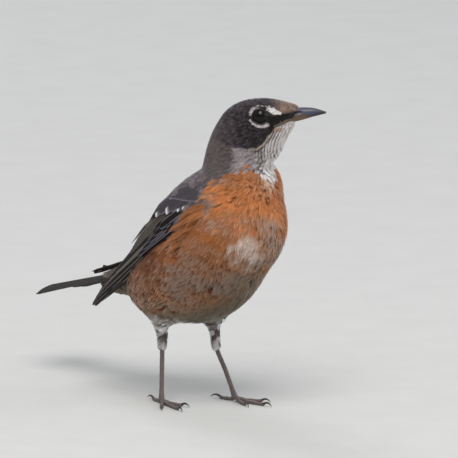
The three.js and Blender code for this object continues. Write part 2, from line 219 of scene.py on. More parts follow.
# ---- Meshes from arrays ----
def add_mesh(name, places, faces, look, colours=None, maps=None):
    """faces is a list of arrays of corners; places are in mm."""
    mesh = bpy.data.meshes.new(name)
    corners = np.concatenate([f.ravel() for f in faces]).astype(np.int32)
    sizes = np.concatenate([np.full(len(f), f.shape[1]) for f in faces]).astype(np.int32)
    starts = np.concatenate([[0], np.cumsum(sizes)[:-1]]).astype(np.int32)
    mesh.vertices.add(len(places))
    mesh.vertices.foreach_set("co", to_frame(places).astype(np.float32).ravel())
    mesh.loops.add(len(corners))
    mesh.loops.foreach_set("vertex_index", corners)
    mesh.polygons.add(len(sizes))
    mesh.polygons.foreach_set("loop_start", starts)
    mesh.polygons.foreach_set("use_smooth", np.ones(len(sizes), bool))
    mesh.update(calc_edges=True)
    if colours is not None:
        layer = mesh.color_attributes.new("Marking", "FLOAT_COLOR", "POINT")
        rgba = np.concatenate([colours, np.ones((len(colours), 1))], 1)
        layer.data.foreach_set("color", rgba.astype(np.float32).ravel())
    for map_name, uv in (maps or {}).items():
        layer = mesh.uv_layers.new(name=map_name)
        layer.data.foreach_set("uv", uv[corners].astype(np.float32).ravel())
    mesh.materials.append(look)
    obj = bpy.data.objects.new(name, mesh)
    bpy.context.scene.collection.objects.link(obj)
    return obj


def settle_in(obj, slot, *nodes):
    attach(obj, "root")
    if nodes:
        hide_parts(*nodes)
    return obj


def grid_faces(rows, columns, closed=False):
    """Quads of a grid of points, row after row; closed joins its last column to its first."""
    wide = columns if closed else columns - 1
    i, j = np.meshgrid(np.arange(rows - 1), np.arange(wide), indexing="ij")
    k = (j + 1) % columns
    quads = np.stack([i * columns + j, i * columns + k, (i + 1) * columns + k, (i + 1) * columns + j], -1)
    return quads.reshape(-1, 4)


def capped_faces(rows, columns):
    """The faces of a round limb; its first and last rows close on the two points after the grid."""
    n, last = rows * columns, (rows - 1) * columns
    j = np.arange(columns)
    k = (j + 1) % columns
    caps = [np.stack([k, j, np.full(columns, n)], 1),
            np.stack([last + j, last + k, np.full(columns, n + 1)], 1)]
    return grid_faces(rows, columns, closed=True), np.concatenate(caps)


def unwrapped(angle, along):
    """Places on the unwrap for a grid of points that goes round by angle."""
    return np.stack(np.broadcast_arrays(angle / 7, along), -1).reshape(-1, 2)


def cell(k, cells, own, margin):
    """Places of 0 to 1 taken into the k-th cell of an unwrap of cells by cells, inside a margin."""
    return (np.array([k % cells, k // cells]) + margin + (1 - 2 * margin) * own) / cells


# ---- Materials ----
class Look:
    """A new material; settings are the fixed inputs of its shader. Values passed on are sockets."""

    def __init__(self, name, **settings):
        self.material = bpy.data.materials.new(name)
        self.material.use_nodes = True
        self.tree = self.material.node_tree
        self.tree.nodes.clear()
        fixed = {key.replace("_", " "): value for key, value in settings.items()}
        self.shader = self.node("ShaderNodeBsdfPrincipled", fixed)
        self.node("ShaderNodeOutputMaterial", {0: self.shader.outputs[0]})

    def node(self, kind, inputs=None, **settings):
        made = self.tree.nodes.new(kind)
        for key, value in settings.items():
            setattr(made, key, value)
        for key, value in (inputs or {}).items():
            if isinstance(value, bpy.types.NodeSocket):
                self.tree.links.new(value, made.inputs[key])
            else:
                made.inputs[key].default_value = value
        return made

    def math(self, operation, *values):
        return self.node("ShaderNodeMath", dict(enumerate(values)), operation=operation).outputs[0]

    def noise(self, scale, detail):
        place = self.node("ShaderNodeTexCoord").outputs["Object"]
        inputs = {"Vector": place, "Scale": scale, "Detail": detail}
        return self.node("ShaderNodeTexNoise", inputs).outputs["Fac"]

    def spread(self, value, low, high):
        """value, from 0 to 1, taken to low..high."""
        inputs = {"Value": value, "To Min": low, "To Max": high}
        return self.node("ShaderNodeMapRange", inputs).outputs["Result"]

    def set(self, key, value):
        self.tree.links.new(value, self.shader.inputs[key])

    def paint(self, shade):
        """Takes the mesh's markings, times shade, as the colour."""
        colour = self.node("ShaderNodeAttribute", attribute_name="Marking").outputs["Color"]
        self.set("Base Color", self.node("ShaderNodeVectorMath", {0: colour, "Scale": shade},
                                         operation="SCALE").outputs[0])

    def roughen(self, roughness, height, strength, distance):
        """Takes a roughness, and bumps of this height."""
        self.set("Roughness", roughness)
        inputs = {"Height": height, "Strength": strength, "Distance": distance}
        self.set("Normal", self.node("ShaderNodeBump", inputs).outputs[0])


def feather_material(name, roughness, barbs, barb_depth, sheen):
    look = Look(name, Specular_IOR_Level=0.12, Sheen_Weight=sheen, Sheen_Roughness=0.5)
    vane = look.node("ShaderNodeUVMap", uv_map="Vane").outputs[0]
    parts = look.node("ShaderNodeSeparateXYZ", {0: vane})
    across = look.math("ABSOLUTE", look.math("SUBTRACT", parts.outputs[0], 0.5))
    slant = look.math("SUBTRACT", parts.outputs[1], look.math("MULTIPLY", across, 0.9))
    waves = look.math("SINE", look.math("MULTIPLY", slant, barbs))
    fine = look.noise(900.0, 4.0)
    broad = look.noise(90.0, 2.0)
    shade = look.math("MULTIPLY", look.spread(fine, 0.78, 1.24), look.spread(broad, 0.88, 1.12))
    look.paint(look.math("MULTIPLY", shade, look.spread(look.math("ADD", waves, 0.5), 0.93, 1.04)))
    height = look.math("ADD", look.math("MULTIPLY", waves, 0.5), fine)
    look.roughen(look.spread(fine, roughness - 0.08, roughness + 0.1), height, 0.5, barb_depth)
    return look.material


def skin_material():
    look = Look("bird_skin")
    fine = look.noise(1400.0, 4.0)
    look.paint(look.spread(fine, 0.7, 1.1))
    look.roughen(look.spread(fine, 0.8, 0.98), fine, 0.6, 0.0002)
    return look.material


def horn_material(name, roughness, scale, coat_weight):
    look = Look(name, Coat_Weight=coat_weight, Coat_Roughness=0.3)
    grain = look.noise(scale, 5.0)
    broad = look.noise(scale / 6, 2.0)
    look.paint(look.math("MULTIPLY", look.spread(grain, 0.82, 1.16), look.spread(broad, 0.86, 1.14)))
    look.roughen(look.spread(grain, roughness - 0.08, roughness + 0.12), grain, 0.35, 0.0001)
    return look.material


def eye_material():
    look = Look("eye_gloss", Roughness=0.08, Specular_IOR_Level=0.1, Coat_Weight=0.3, Coat_Roughness=0.03)
    look.paint(look.spread(look.noise(2500.0, 3.0), 0.7, 1.3))
    return look.material


COAT = feather_material("soft_feather", 0.8, 60.0, 0.00009, 0.12)
QUILL = feather_material("quill_feather", 0.66, 330.0, 0.00006, 0.0)
SKIN = skin_material()
HORN = horn_material("bill_horn", 0.42, 900.0, 0.15)
LEG = horn_material("leg_scales", 0.5, 1600.0, 0.1)
CLAW = horn_material("claw_horn", 0.35, 1300.0, 0.3)
LID = horn_material("eyelid_skin", 0.6, 2600.0, 0.05)
EYE = eye_material()

# ---- Markings ----
HOOD = srgb(52, 47, 50)
CROWN = srgb(70, 63, 68)
BROW = srgb(178, 150, 134)
LORES = srgb(24, 20, 18)
WHITE = srgb(246, 242, 241)
EYE_RING = srgb(220, 211, 212)
LILAC = srgb(180, 167, 171)
NAPE = srgb(98, 89, 87)
MANTLE = srgb(120, 109, 111)
SLATE_EDGE = srgb(142, 133, 138)
BUFF = srgb(206, 180, 146)
GAPE = srgb(182, 112, 66)
THROAT = srgb(234, 227, 225)
STREAK = srgb(52, 46, 47)
RUST = srgb(193, 120, 70)
DEEP_RUST = srgb(116, 58, 28)
RUST_FRINGE = srgb(206, 142, 94)
PALE_FRINGE = srgb(172, 148, 132)
# The white of the belly, painted a dull grey-buff as painted shade.
SHADED_BELLY_WHITE = srgb(130, 118, 97)
VENT_GREY = srgb(74, 67, 62)
RUMP = srgb(92, 86, 84)

HOOD_EDGE = [(-34, -7), (-24, -12.8), (-15, -15.6), (-9, -17), (-4, -17.2), (-1, -15.7), (1.4, -13.6),
             (4.6, -10.3), (7.9, -6.8), (12, -5.6), (20, -5)]
BREAST_EDGE = [(0, 131), (3, 132), (5.5, 134.5), (9, 138), (13, 140.6), (17.5, 139.5), (21, 138), (25, 133)]
WING_EDGE = [(-28, 124), (-13, 111), (14, 92), (42, 74), (60, 64), (90, 58)]
BELLY_EDGE = [(-58, 101), (-54, 94), (-47, 88), (-36, 76), (-24, 69.5), (-15, 66), (-4, 62.5), (8, 60.5),
              (24, 60), (32, 66), (60, 72)]

# The broken ring round the eye: bearing from straight ahead, distance from the eye's axis, half width.
RING = [(-178, 5.6, -0.5), (-170, 5.6, 0.3), (-130, 4.9, 0.4), (-83, 5.3, 0.7), (-60, 5.9, 1.1),
        (-48, 6.3, 1.0), (-38, 6.5, -0.5), (52, 5.2, -0.5), (64, 5.2, 0.3), (95, 5.3, 0.7), (126, 5.4, 1.0),
        (149, 5.4, 1.0), (164, 5.5, 0.5), (173, 5.6, -0.5)]
# Pale and dark patches of the breast and shoulder: centre, radius, colour and strength. The last, small dark
# one is painted shadow, in the crease where the breast feathers lap over the bend of the wing.
PATCHES = [((-10.5, -55, 97), 8.5, srgb(208, 186, 172), 0.75), ((-3, -56, 89), 7, srgb(186, 160, 144), 0.6),
           ((8, -51.5, 131), 5.5, srgb(214, 172, 138), 0.55), ((-21, -36, 121), 6, srgb(140, 116, 104), 0.75),
           ((-23, -33, 121), 3.5, srgb(84, 70, 66), 0.6)]


def table(rows, x):
    low, high = zip(*rows)
    return np.interp(x, low, high)


def layer(pair, over, weight):
    """The colours of middles and of fringes, with another pair laid over them."""
    return mix(pair[0], over[0], weight), mix(pair[1], over[1], weight)


def body_markings(places, chance):
    """Slate back, rust breast and flanks, and belly: the colours, where fringes start, and how much of
    each place is below the slate."""
    x, y, z = places.T
    fine = ripple(places, 3.0, 1)
    broad = ripple(places, 11.0, 2)

    # Slate upper side.
    slate = mix(MANTLE, NAPE, smooth(z, 120, 145))
    slate = mix(slate, RUMP, smooth(y, 25, 45))
    pair = slate * (0.8 + 0.25 * broad)[:, None], mix(slate, SLATE_EDGE, 0.45)

    # Rust breast and flanks, then the white belly with rust spots.
    side = np.abs(x - 9.5)
    top = np.where(y < -29, table(BREAST_EDGE, side), table(WING_EDGE, y))
    top = top + 4 * (ripple(places, 2.5, 3) - 0.5)
    under = fade(z - top, -0.8, 0.8)
    # Painted shade lower on the breast: the rust deepens and dulls there. Random cloudy patches dull it too.
    shaded = fade(z, 84, 126)
    flank = smooth(y, -14, 4) * (1 - shaded * 0.4)
    clouds = ripple(places, 8.0, 9)
    rust = mix(RUST, DEEP_RUST, np.clip(0.1 + 0.55 * shaded + 0.6 * (broad - 0.5), 0, 1))
    dull_patches_and_shade = np.clip(0.75 * shaded + 1.5 * (clouds - 0.5), 0, 1) * (1 - flank)
    rust = mix(rust, rust * 0.55 + PALE_FRINGE * 0.3, 0.5 * dull_patches_and_shade)
    rust_fringe = mix(RUST_FRINGE, PALE_FRINGE, np.clip(0.1 + 0.9 * dull_patches_and_shade + 0.5 * flank, 0, 1))
    low = z - table(BELLY_EDGE, y)
    low = low + 5 * (1 - flank)
    spot = smooth(low + 22 * (0.5 * chance + 0.5 * ripple(places, 2.6, 11) - 0.5), -8, 2)
    deep = np.maximum(0.8 * fade(low, 0, 18), 0.7 * flank)
    belly = mix(SHADED_BELLY_WHITE, mix(rust, DEEP_RUST * 0.8, deep), spot)
    lower_start = 0.45 + 0.25 * smooth(low, -2, 30) - 0.2 * dull_patches_and_shade + 0.12 * (fine - 0.5) + 0.2 * flank
    vent = smooth(y, 26, 36) * fade(z, 70, 76)
    belly = mix(belly, mix(VENT_GREY, SHADED_BELLY_WHITE, smooth(chance, 0.45, 0.7)), vent)
    middle, fringe = layer(pair, (belly, mix(SHADED_BELLY_WHITE, rust_fringe, smooth(low, -10, 2))), under)
    fringe = mix(fringe, SHADED_BELLY_WHITE * 1.25, vent * under)
    start = 0.6 * (1 - under) + lower_start * under
    # Painted shade: the under side, but not the vent, darkens by up to a third towards the bottom.
    painted_shade_below = (1 - 0.32 * fade(z, 74, 106) * under * (1 - vent))[:, None]
    scallop = (flank * fade(z, 84, 108) * under * (1 - vent))[:, None]
    middle, fringe = middle * painted_shade_below * (1 - 0.2 * scallop), fringe * painted_shade_below * (1 + 0.6 * scallop)

    # The feathered shanks, grey and white.
    worn = chance + broad - 0.5
    stocking = (mix(VENT_GREY * 1.2, WHITE * 0.75, smooth(worn, 0.1, 1.0)),
                mix(VENT_GREY * 1.3, WHITE * 0.8, smooth(worn, 0.0, 0.9)))
    pair = layer((middle, fringe), stocking, fade(z, 44, 54))
    for centre, radius, tint, weight in PATCHES:
        gap = np.linalg.norm(places - np.array(centre), axis=1) / radius
        patch = weight * fade(gap + 0.7 * (chance - 0.5) + 0.9 * (fine - 0.5), 0.4, 1.2)
        pair = layer(pair, (tint, mix(tint, WHITE, 0.4)), patch)
    return pair, start, under


def throat_markings(pair, places, chance, above):
    """The side of the neck and the streaked throat, above the rust, and how far the throat goes."""
    out, ahead, up = in_head(places)
    middle, fringe = pair
    neck = above * smooth(places[:, 2], 124, 128) * (places[:, 1] < -20)
    lilac_zone = neck * fade(-ahead, 15, 20) * smooth(-ahead, 4, 7)
    tone = mix(LILAC * 0.8, WHITE * 0.7, smooth(chance, 0.72, 1.0))
    middle = mix(middle, tone, 0.9 * lilac_zone)
    fringe = mix(fringe, mix(LILAC, WHITE, 0.25), 0.85 * lilac_zone)
    throat_zone = neck * smooth(ahead, -7, -4)

    # Dark streaks run down the throat, slanting back below the bill.
    slope = np.clip(up + 24, 0, 18)
    course = ahead - 0.12 * (up + 24) - 0.0217 * slope**2 + 0.15 * out
    stripes = 0.5 + 0.5 * np.sin(4.1 * course + 1.6 * ripple(places, 5.0, 15))
    back_edge = -3.0 - 0.1 * np.clip(-20 - up, 0, 14)
    band = np.clip(3.0 - 0.13 * np.clip(-19 - up, 0, 13), 1.2, 3)
    edging = bell(ahead - back_edge, band)
    dark_share = 0.27 - 0.2 * smooth(-up, 22, 28) + 0.5 * edging * fade(-up, 30, 33)
    dark_share = np.maximum(dark_share, 0.5 * smooth(out, 4, 9) * smooth(up, -19, -13))
    dark_share = dark_share - 0.2 * smooth(ahead, 5, 10)
    dark = 0.85 * smooth(stripes * 0.7 + chance * 0.3, 1 - dark_share - 0.14, 1 - dark_share + 0.14)
    streaked = mix(THROAT, STREAK, dark), mix(THROAT, STREAK, 0.75 * dark)
    return layer((middle, fringe), streaked, throat_zone), throat_zone


def face_markings(pair, places, chance):
    """The dark hood with the marks of the face, and how far the hood goes."""
    out, ahead, up = in_head(places)
    edge = table(HOOD_EDGE, ahead)
    hood = smooth(up - edge + 1.5 * (chance - 0.5), -0.6, 0.6) * smooth(ahead, -36, -14)
    hood = hood * smooth(places[:, 2], 140, 150)
    tone = mix(HOOD, CROWN, np.clip(0.8 * smooth(up, 2, 8) + 0.5 * smooth(-ahead, 8, 20), 0, 1))
    swirl = ripple(places * [1, 1, 1.7], 2.4, 12)
    mottle = smooth(0.9 * chance + 0.6 * swirl, 0.55, 1.25)
    over_eye = bell(up - 9 + 0.25 * ahead, 1.6) * smooth(-ahead, -3, 2)
    over_eye = over_eye * fade(-ahead, 14, 20)
    mottle = np.clip(mottle + 0.6 * over_eye, 0, 1)
    pair = layer(pair, (tone * (0.72 + 0.75 * mottle)[:, None], tone * (1.1 + 1.9 * mottle)[:, None]), hood)
    brow = hood * smooth(ahead, 5, 14) * smooth(up, -1.5, 1)
    brown = BROW * (0.45 + 0.55 * chance)[:, None], BROW * (1 + 0.4 * chance)[:, None]
    pair = layer(pair, brown, 0.8 * brow)
    lores = smooth(ahead, 3.2, 5.5) * fade(up, -1.2, 0.4)
    lores = lores * smooth(up - edge, 0, 1) * smooth(out, 2, 3.5)
    pair = layer(pair, (LORES, LORES * 1.5), lores)

    # The pale line that runs back from the gape, with a shadow under it.
    line = bell(up - edge + 0.5, 0.5) * smooth(ahead, -9, -3) * fade(ahead, 6, 8)
    pair = layer(pair, (BUFF, BUFF), line * smooth(out, 5, 7) * (0.55 + 0.45 * chance))
    shade = bell(up - edge + 1.9, 0.7) * smooth(ahead, -9, -5) * fade(ahead, 5, 8)
    shade = shade * smooth(out, 5, 7)
    pair = mix(pair[0], STREAK, 0.85 * shade), mix(pair[1], STREAK, 0.7 * shade)
    corner = fade(np.hypot((ahead - 8.8) / 2.2, (up + 8.6) / 1.2), 0.5, 1.2) * smooth(out, 5, 7)
    pair = layer(pair, (GAPE, GAPE * 1.2), 0.7 * corner)

    # White spot over the lores, and the broken ring round the eye.
    slant = ahead - 7.6
    spot = np.hypot(slant / 3.7, (up - 1.9 + 0.5 * slant) / 1.8)
    spot = spot + 0.35 * (chance - 0.5) + 0.5 * (ripple(places, 1.3, 16) - 0.5)
    pair = layer(pair, (WHITE, WHITE), fade(spot, 0.8, 1.05) * smooth(out, 4, 5))
    angle = np.degrees(np.arctan2(up, ahead))
    bearing, reach, half = zip(*RING)
    off = np.abs(np.hypot(ahead, up) - np.interp(angle, bearing, reach)) - np.interp(angle, bearing, half)
    ring = fade(off + 0.3 * (chance - 0.5), -0.3, 0.2) * smooth(out, 6, 7)
    return layer(pair, (EYE_RING, EYE_RING * 1.1), ring), hood


def markings(places, chance):
    """The colours of the feathers at places: of their middles, of their fringes, and how far out the
    fringe starts. chance is a random number for each feather, from 0 to 1."""
    pair, start, under = body_markings(places, chance)
    pair, throat = throat_markings(pair, places, chance, 1 - under)
    pair, hood = face_markings(pair, places, chance)
    return *pair, np.where(hood + throat > 0.5, 0.55, start)


# ---- Skin ----
SKIN_VOXEL = 0.0013
FLESH = ["head", "neck", "trunk", "rump", "thigh_right", "thigh_left"]


def coat_depth(places):
    """How deep the feathers are over the skin."""
    z = places[:, 2]
    face = smooth(in_head(places)[1], -2, 10) * smooth(z, 146, 152)
    depth = 2.6 - 1.2 * smooth(z, 98, 145) - 0.7 * face
    return depth * (0.25 + 0.75 * smooth(z, 32, 52))


def points_of(mesh):
    co = np.zeros(len(mesh.vertices) * 3)
    mesh.vertices.foreach_get("co", co)
    return co.reshape(-1, 3)


def flesh():
    """The nodes of flesh, and the eyes that fill their sockets, as one even mesh of quads."""
    places, faces, count = [], [], 0
    for name in [*FLESH, "eye_right", "eye_left"]:
        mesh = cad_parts[name].data
        places.append(points_of(mesh))
        faces += [[v + count for v in p.vertices] for p in mesh.polygons]
        count += len(mesh.vertices)
    rough = bpy.data.meshes.new("flesh_rough")
    rough.from_pydata(np.concatenate(places), [], faces)
    obj = bpy.data.objects.new("flesh_rough", rough)
    bpy.context.scene.collection.objects.link(obj)
    even = obj.modifiers.new("even", "REMESH")
    even.mode = "VOXEL"
    even.voxel_size = SKIN_VOXEL
    made = obj.evaluated_get(bpy.context.evaluated_depsgraph_get()).to_mesh()
    points = points_of(made)
    quads = np.array([list(p.vertices) for p in made.polygons])
    bpy.data.objects.remove(obj)
    return points * 1000 - SHIFT, quads


skin_places, skin_quads = flesh()
for _ in range(3):
    skin_places = settle(skin_places, -coat_depth(skin_places))
sides_of_quads = np.concatenate([skin_quads[:, pair] for pair in ([0, 1], [1, 2], [2, 3], [3, 0])])
skin_edges = np.unique(np.sort(sides_of_quads, 1), axis=0)


def averaged(values, times):
    """values at the skin's points, each time averaged with those of its neighbours."""
    a, b = skin_edges.T
    count = np.zeros(len(skin_places))
    np.add.at(count, a, 1)
    np.add.at(count, b, 1)
    for _ in range(times):
        total = np.zeros_like(values)
        np.add.at(total, a, values[b])
        np.add.at(total, b, values[a])
        values = 0.4 * values + 0.6 * total / count.reshape(-1, *[1] * (values.ndim - 1))
    return values


skin_places = settle(averaged(skin_places, 4), -coat_depth(skin_places))
skin_away = coat(skin_places)[1]


def way_from_bill():
    """How far each point of the skin is from the bill, along the skin."""
    ahead = in_head(skin_places)[1]
    neighbours = [[] for _ in skin_places]
    lengths = np.linalg.norm(skin_places[skin_edges[:, 0]] - skin_places[skin_edges[:, 1]], axis=1)
    for (a, b), length in zip(skin_edges.tolist(), lengths.tolist()):
        neighbours[a].append((b, length))
        neighbours[b].append((a, length))
    far = np.full(len(skin_places), 1e9)
    queue = []
    for i in np.flatnonzero(ahead > ahead.max() - 3):
        far[i] = 0
        queue.append((0.0, int(i)))
    heapq.heapify(queue)
    while queue:
        d, i = heapq.heappop(queue)
        if d > far[i]:
            continue
        for j, length in neighbours[i]:
            if d + length < far[j]:
                far[j] = d + length
                heapq.heappush(queue, (d + length, j))
    return far


def along_skin(v):
    """v at the skin's points, without its part square to the skin, as units."""
    return unit(v - skin_away * (v * skin_away).sum(1)[:, None])


def lie_of_coat():
    """At each point of the skin, the direction along it that leads away from the bill."""
    far = averaged(np.minimum(way_from_bill(), 400), 30)
    a, b = skin_edges.T
    step = skin_places[b] - skin_places[a]
    pull = step * ((far[b] - far[a]) / (step**2).sum(1))[:, None]
    slope = np.zeros_like(skin_places)
    np.add.at(slope, a, pull)
    np.add.at(slope, b, pull)
    return along_skin(averaged(along_skin(slope), 25))


skin_lie = lie_of_coat()
skin_middle, skin_fringe, _ = markings(skin_places, np.full(len(skin_places), 0.5))
skin = add_mesh("skin", skin_places, [skin_quads], SKIN, colours=mix(skin_middle, skin_fringe, 0.2) * 0.75)
skin.data.uv_layers.new(name="OFBake")
bpy.context.view_layer.objects.active = skin
skin.select_set(True)
bpy.ops.object.mode_set(mode="EDIT")
bpy.ops.mesh.select_all(action="SELECT")
bpy.ops.uv.smart_project(angle_limit=math.radians(66), island_margin=0.004)
bpy.ops.object.mode_set(mode="OBJECT")
skin.select_set(False)
settle_in(skin, "slate_feathers", *FLESH)
corner_uv = np.zeros(len(skin.data.loops) * 2)
skin.data.uv_layers["OFBake"].data.foreach_get("uv", corner_uv)
skin_uv = corner_uv.reshape(-1, 4, 2)


# ---- Feathers over the skin ----
ROOTS_TRIED = 75000
RAGGED = 0.12
TONE_LIMITS = (0.002, 0.95)
# How much of the unwrap a feather takes, about the place of its root.
FEATHER_PATCH = 0.003
MOUTH_LINE = ([6.5, 8, 11, 15, 21.5], [-6.6, -6.4, -5.7, -4.7, -3.8])


def spacing(places):
    """How far apart feathers grow."""
    y, z = places[:, 1], places[:, 2]
    throat = smooth(-y, 22, 32)
    gap = 2.0 - 0.35 * smooth(z, 124, 140) - 0.35 * throat * smooth(z, 122, 134)
    gap = gap + 0.8 * smooth(y, -16, 0) * fade(z, 96, 108)
    gap = gap - (0.65 - 0.35 * throat) * smooth(z, 140, 152)
    face = smooth(in_head(places)[1], -9, 4) * smooth(z, 147, 153)
    gap = gap - 0.27 * face
    return gap * (0.55 + 0.45 * smooth(z, 34, 50))


def scatter(count):
    """Roots for feathers: places on the skin with their face, kept apart by their spacing."""
    a, b, c, d = (skin_places[skin_quads[:, k]] for k in range(4))
    area = np.linalg.norm(np.cross(c - a, d - b), axis=1) / 2
    weight = area / spacing((a + b + c + d) / 4) ** 2
    face = rng.choice(len(skin_quads), count, p=weight / weight.sum())
    u, v = rng.random(count), rng.random(count)
    w = np.stack([(1 - u) * (1 - v), u * (1 - v), u * v, (1 - u) * v], 1)
    places = np.einsum("nk,nkd->nd", w, skin_places[skin_quads[face]])
    gap = spacing(places)
    tree = KDTree(count)
    for i, p in enumerate(places):
        tree.insert(p, i)
    tree.balance()
    alive = np.ones(count, bool)
    kept = []
    for i in range(count):
        if not alive[i]:
            continue
        kept.append(i)
        for _, j, _ in tree.find_range(places[i], gap[i]):
            alive[j] = False
    return places[kept], face[kept], w[kept]


roots, root_face, root_weight = scatter(ROOTS_TRIED)
root_lie, root_away, root_uv = (np.einsum("nk,nkd->nd", root_weight, values) for values in (
    skin_lie[skin_quads[root_face]], skin_away[skin_quads[root_face]], skin_uv[root_face]))
root_lie, root_away = unit(root_lie), unit(root_away)
root_depth = coat_depth(roots)


def growing(chosen):
    """The roots chosen, with their lie, facing and places on the unwrap."""
    return roots[chosen], root_lie[chosen], root_away[chosen], root_uv[chosen]


def vane_pattern(fingers, split):
    """The points of a feather as (across, along, finger), and its faces. It is a sheet as far as `split`
    of its length, and parts there into pointed fingers."""
    edges = np.linspace(-1, 1, fingers + 1)
    rows = [(0.0, 0.3), (split * 0.52, 0.82), (split, 1.0)]
    points = [(s * w, t, -1) for t, w in rows for s in edges]
    quads = grid_faces(3, fingers + 1)
    tips, sides = [], []
    for k in range(fingers):
        left, right = 2 * (fingers + 1) + k, 2 * (fingers + 1) + k + 1
        s = (edges[k] + edges[k + 1]) / 2
        end = 1 - 0.3 * s * s
        t = split + (end - split) * 0.55
        half = 0.66 / fingers
        i = len(points)
        points += [(s - half, t, k), (s + half, t, k), (s * 0.96, end, k)]
        sides.append((left, right, i + 1, i))
        tips.append((i, i + 1, i + 2))
    return np.array(points), np.concatenate([quads, np.array(sides)]), np.array(tips)


def feathers(name, field, length, width, fingers, split, rise, depth, slot, lean=0.0, paint=markings,
             fine=False):
    """One joined mesh of feathers. field holds their roots, lie, facing and places on the unwrap; depth
    is how far a root lies under the coat, rise how far a tip stands over it, and lean turns them
    sideways, in degrees. Where fine is true each point of a feather is painted by its own place."""
    pattern, quads, tips = vane_pattern(fingers, split)
    root, lie, away, patch = field
    n, size = len(root), len(pattern)
    s, t, finger = pattern[:, 0], pattern[:, 1], pattern[:, 2].astype(int)
    sideways = unit(np.cross(away, lie))
    swing = np.tan(np.radians(lean + rng.normal(0, 7, n)))[:, None]
    lie = unit(lie + sideways * swing)
    sideways = unit(np.cross(away, lie))
    length = (length * rng.uniform(0.88, 1.15, n))[:, None]
    width = (width * rng.uniform(0.9, 1.1, n))[:, None]
    jitter = rng.normal(0, 1, (n, fingers))
    jitter = np.where(finger[None] >= 0, jitter[:, np.maximum(finger, 0)], 0)
    reach = t[None] * (1 + RAGGED * jitter * (t[None] > split + 0.02))
    x = s[None] * width / 2 + 0.05 * width * jitter * (t[None] > 0.8)
    x = x + rng.normal(0, 0.05, n)[:, None] * length * t[None] ** 2
    places = root[:, None] + (reach * length)[..., None] * lie[:, None] + x[..., None] * sideways[:, None]
    top = (depth + rise * rng.uniform(0.5, 1.5, n))[:, None]
    level = -depth[:, None] - 0.25 + (top + 0.25) * (1 - (1 - np.clip(t[None], 0, 1)) ** 2.4)
    level = level - 0.06 * width * s[None] ** 2 + 0.06 * jitter
    places = settle(places.reshape(-1, 3), level.ravel(), 2)
    seen = places.reshape(n, size, 3)
    if not fine:
        seen = seen[:, [2 * (fingers + 1) + fingers // 2]]
    count = seen.shape[1]
    painted = paint(seen.reshape(-1, 3), np.repeat(rng.random(n), count))
    middle, fringe, start = (part.reshape(n, count, -1) for part in painted)
    rim = np.sqrt(0.85 * (np.clip(t - 0.3, 0, 1) / 0.7) ** 2 + 0.3 * s**2)[None] + 0.07 * jitter
    colours = mix(middle, fringe, smooth(rim, start[..., 0] - 0.12, start[..., 0] + 0.28))
    # Darker towards the root: partly the grey down at a feather's base, partly painted shade from the
    # feathers over it. Each feather and each finger also gets a random tone.
    shade = (0.8 + 0.2 * smooth(t, 0.0, 0.45))[None] * rng.normal(1, 0.08, n)[:, None]
    shade = shade * (1 + 0.09 * jitter)
    colours = np.clip(colours * shade[..., None], *TONE_LIMITS)
    offset = np.arange(n)[:, None, None] * size
    vane = np.stack([s / 2 + 0.5, t], 1)[None]
    maps = {"OFBake": (patch[:, None] + (vane - 0.5) * FEATHER_PATCH).reshape(-1, 2),
            "Vane": np.broadcast_to(vane, (n, size, 2)).reshape(-1, 2)}
    faces = [(quads[None] + offset).reshape(-1, 4), (tips[None] + offset).reshape(-1, 3)]
    obj = add_mesh(name, places, faces, COAT, colours.reshape(-1, 3), maps)
    return settle_in(obj, slot)


def clear_of_face(places):
    """False where a root lies under an eyeball, inside the bill or along the mouth."""
    out, ahead, up = in_head(places)
    eye = np.linalg.norm(np.stack([out - EYE_SPREAD, ahead, up], 1), axis=1) > EYE_RADIUS + 0.1
    rim = ~((np.hypot(ahead, up) < 4.0) & (out > 6))
    mouth = np.interp(ahead, *MOUTH_LINE)
    parted = ~((np.abs(up - mouth + 0.2) < 0.25 + 0.13 * (ahead - 6.5)) & (ahead > 6.5) & (out > 3.5))
    bill = ~((ahead > 16.5) & (up > -7.5) & (up < -1.9 + 0.35 * (ahead - 16.5))) & (ahead < 21)
    return eye & rim & parted & bill


def coat_zones():
    """Each piece of coat: where it grows, the length and width of a feather in spacings, its fingers,
    how far along it parts, how far its tip stands out, and its slot."""
    _, ahead, up = in_head(roots)
    y, z = roots[:, 1], roots[:, 2]
    head = (z > 146) & (ahead > -30)
    face = head & (((ahead > 1.5) & (up > -13)) | (np.hypot(ahead, up) < 8))
    upper = z > np.where(y < -29, 134, table(WING_EDGE, y) + 6)
    legs = z < 49
    trunk = ~head & (z <= 126) & ~legs
    return {
        "coat_face": (face, 2.7, 1.4, 5, 0.45, 0.1, "hood_feathers"),
        "coat_head": (head & ~face, 3.3, 1.7, 6, 0.45, 0.12, "hood_feathers"),
        "coat_neck": (~head & (z > 126), 3.7, 1.8, 7, 0.45, 0.12, "slate_feathers"),
        "coat_back": (trunk & upper, 3.7, 2.0, 8, 0.45, 0.25, "slate_feathers"),
        "coat_breast": (trunk & ~upper & (y < -24), 3.9, 2.0, 10, 0.45, 0.13, "rust_feathers"),
        "coat_belly": (trunk & ~upper & (y >= -24), 3.6, 2.0, 9, 0.55, 0.28, "rust_feathers"),
        "coat_thighs": (legs, 3.6, 1.9, 6, 0.4, 0.22, "rust_feathers"),
    }


free = clear_of_face(roots)
root_gap = spacing(roots)
# Feathers are shorter where the neck folds over the breast.
shortened = 1 - 0.22 * (bell(roots[:, 2] - 133, 4.5) * smooth(-roots[:, 1], 38, 50))
for name, (zone, long, wide, fingers, split, rise, slot) in coat_zones().items():
    zone = zone & free
    feathers(name, growing(zone), long * root_gap[zone] * shortened[zone], wide * root_gap[zone], fingers,
             split, rise, root_depth[zone], slot, fine=name in ("coat_face", "coat_head"))

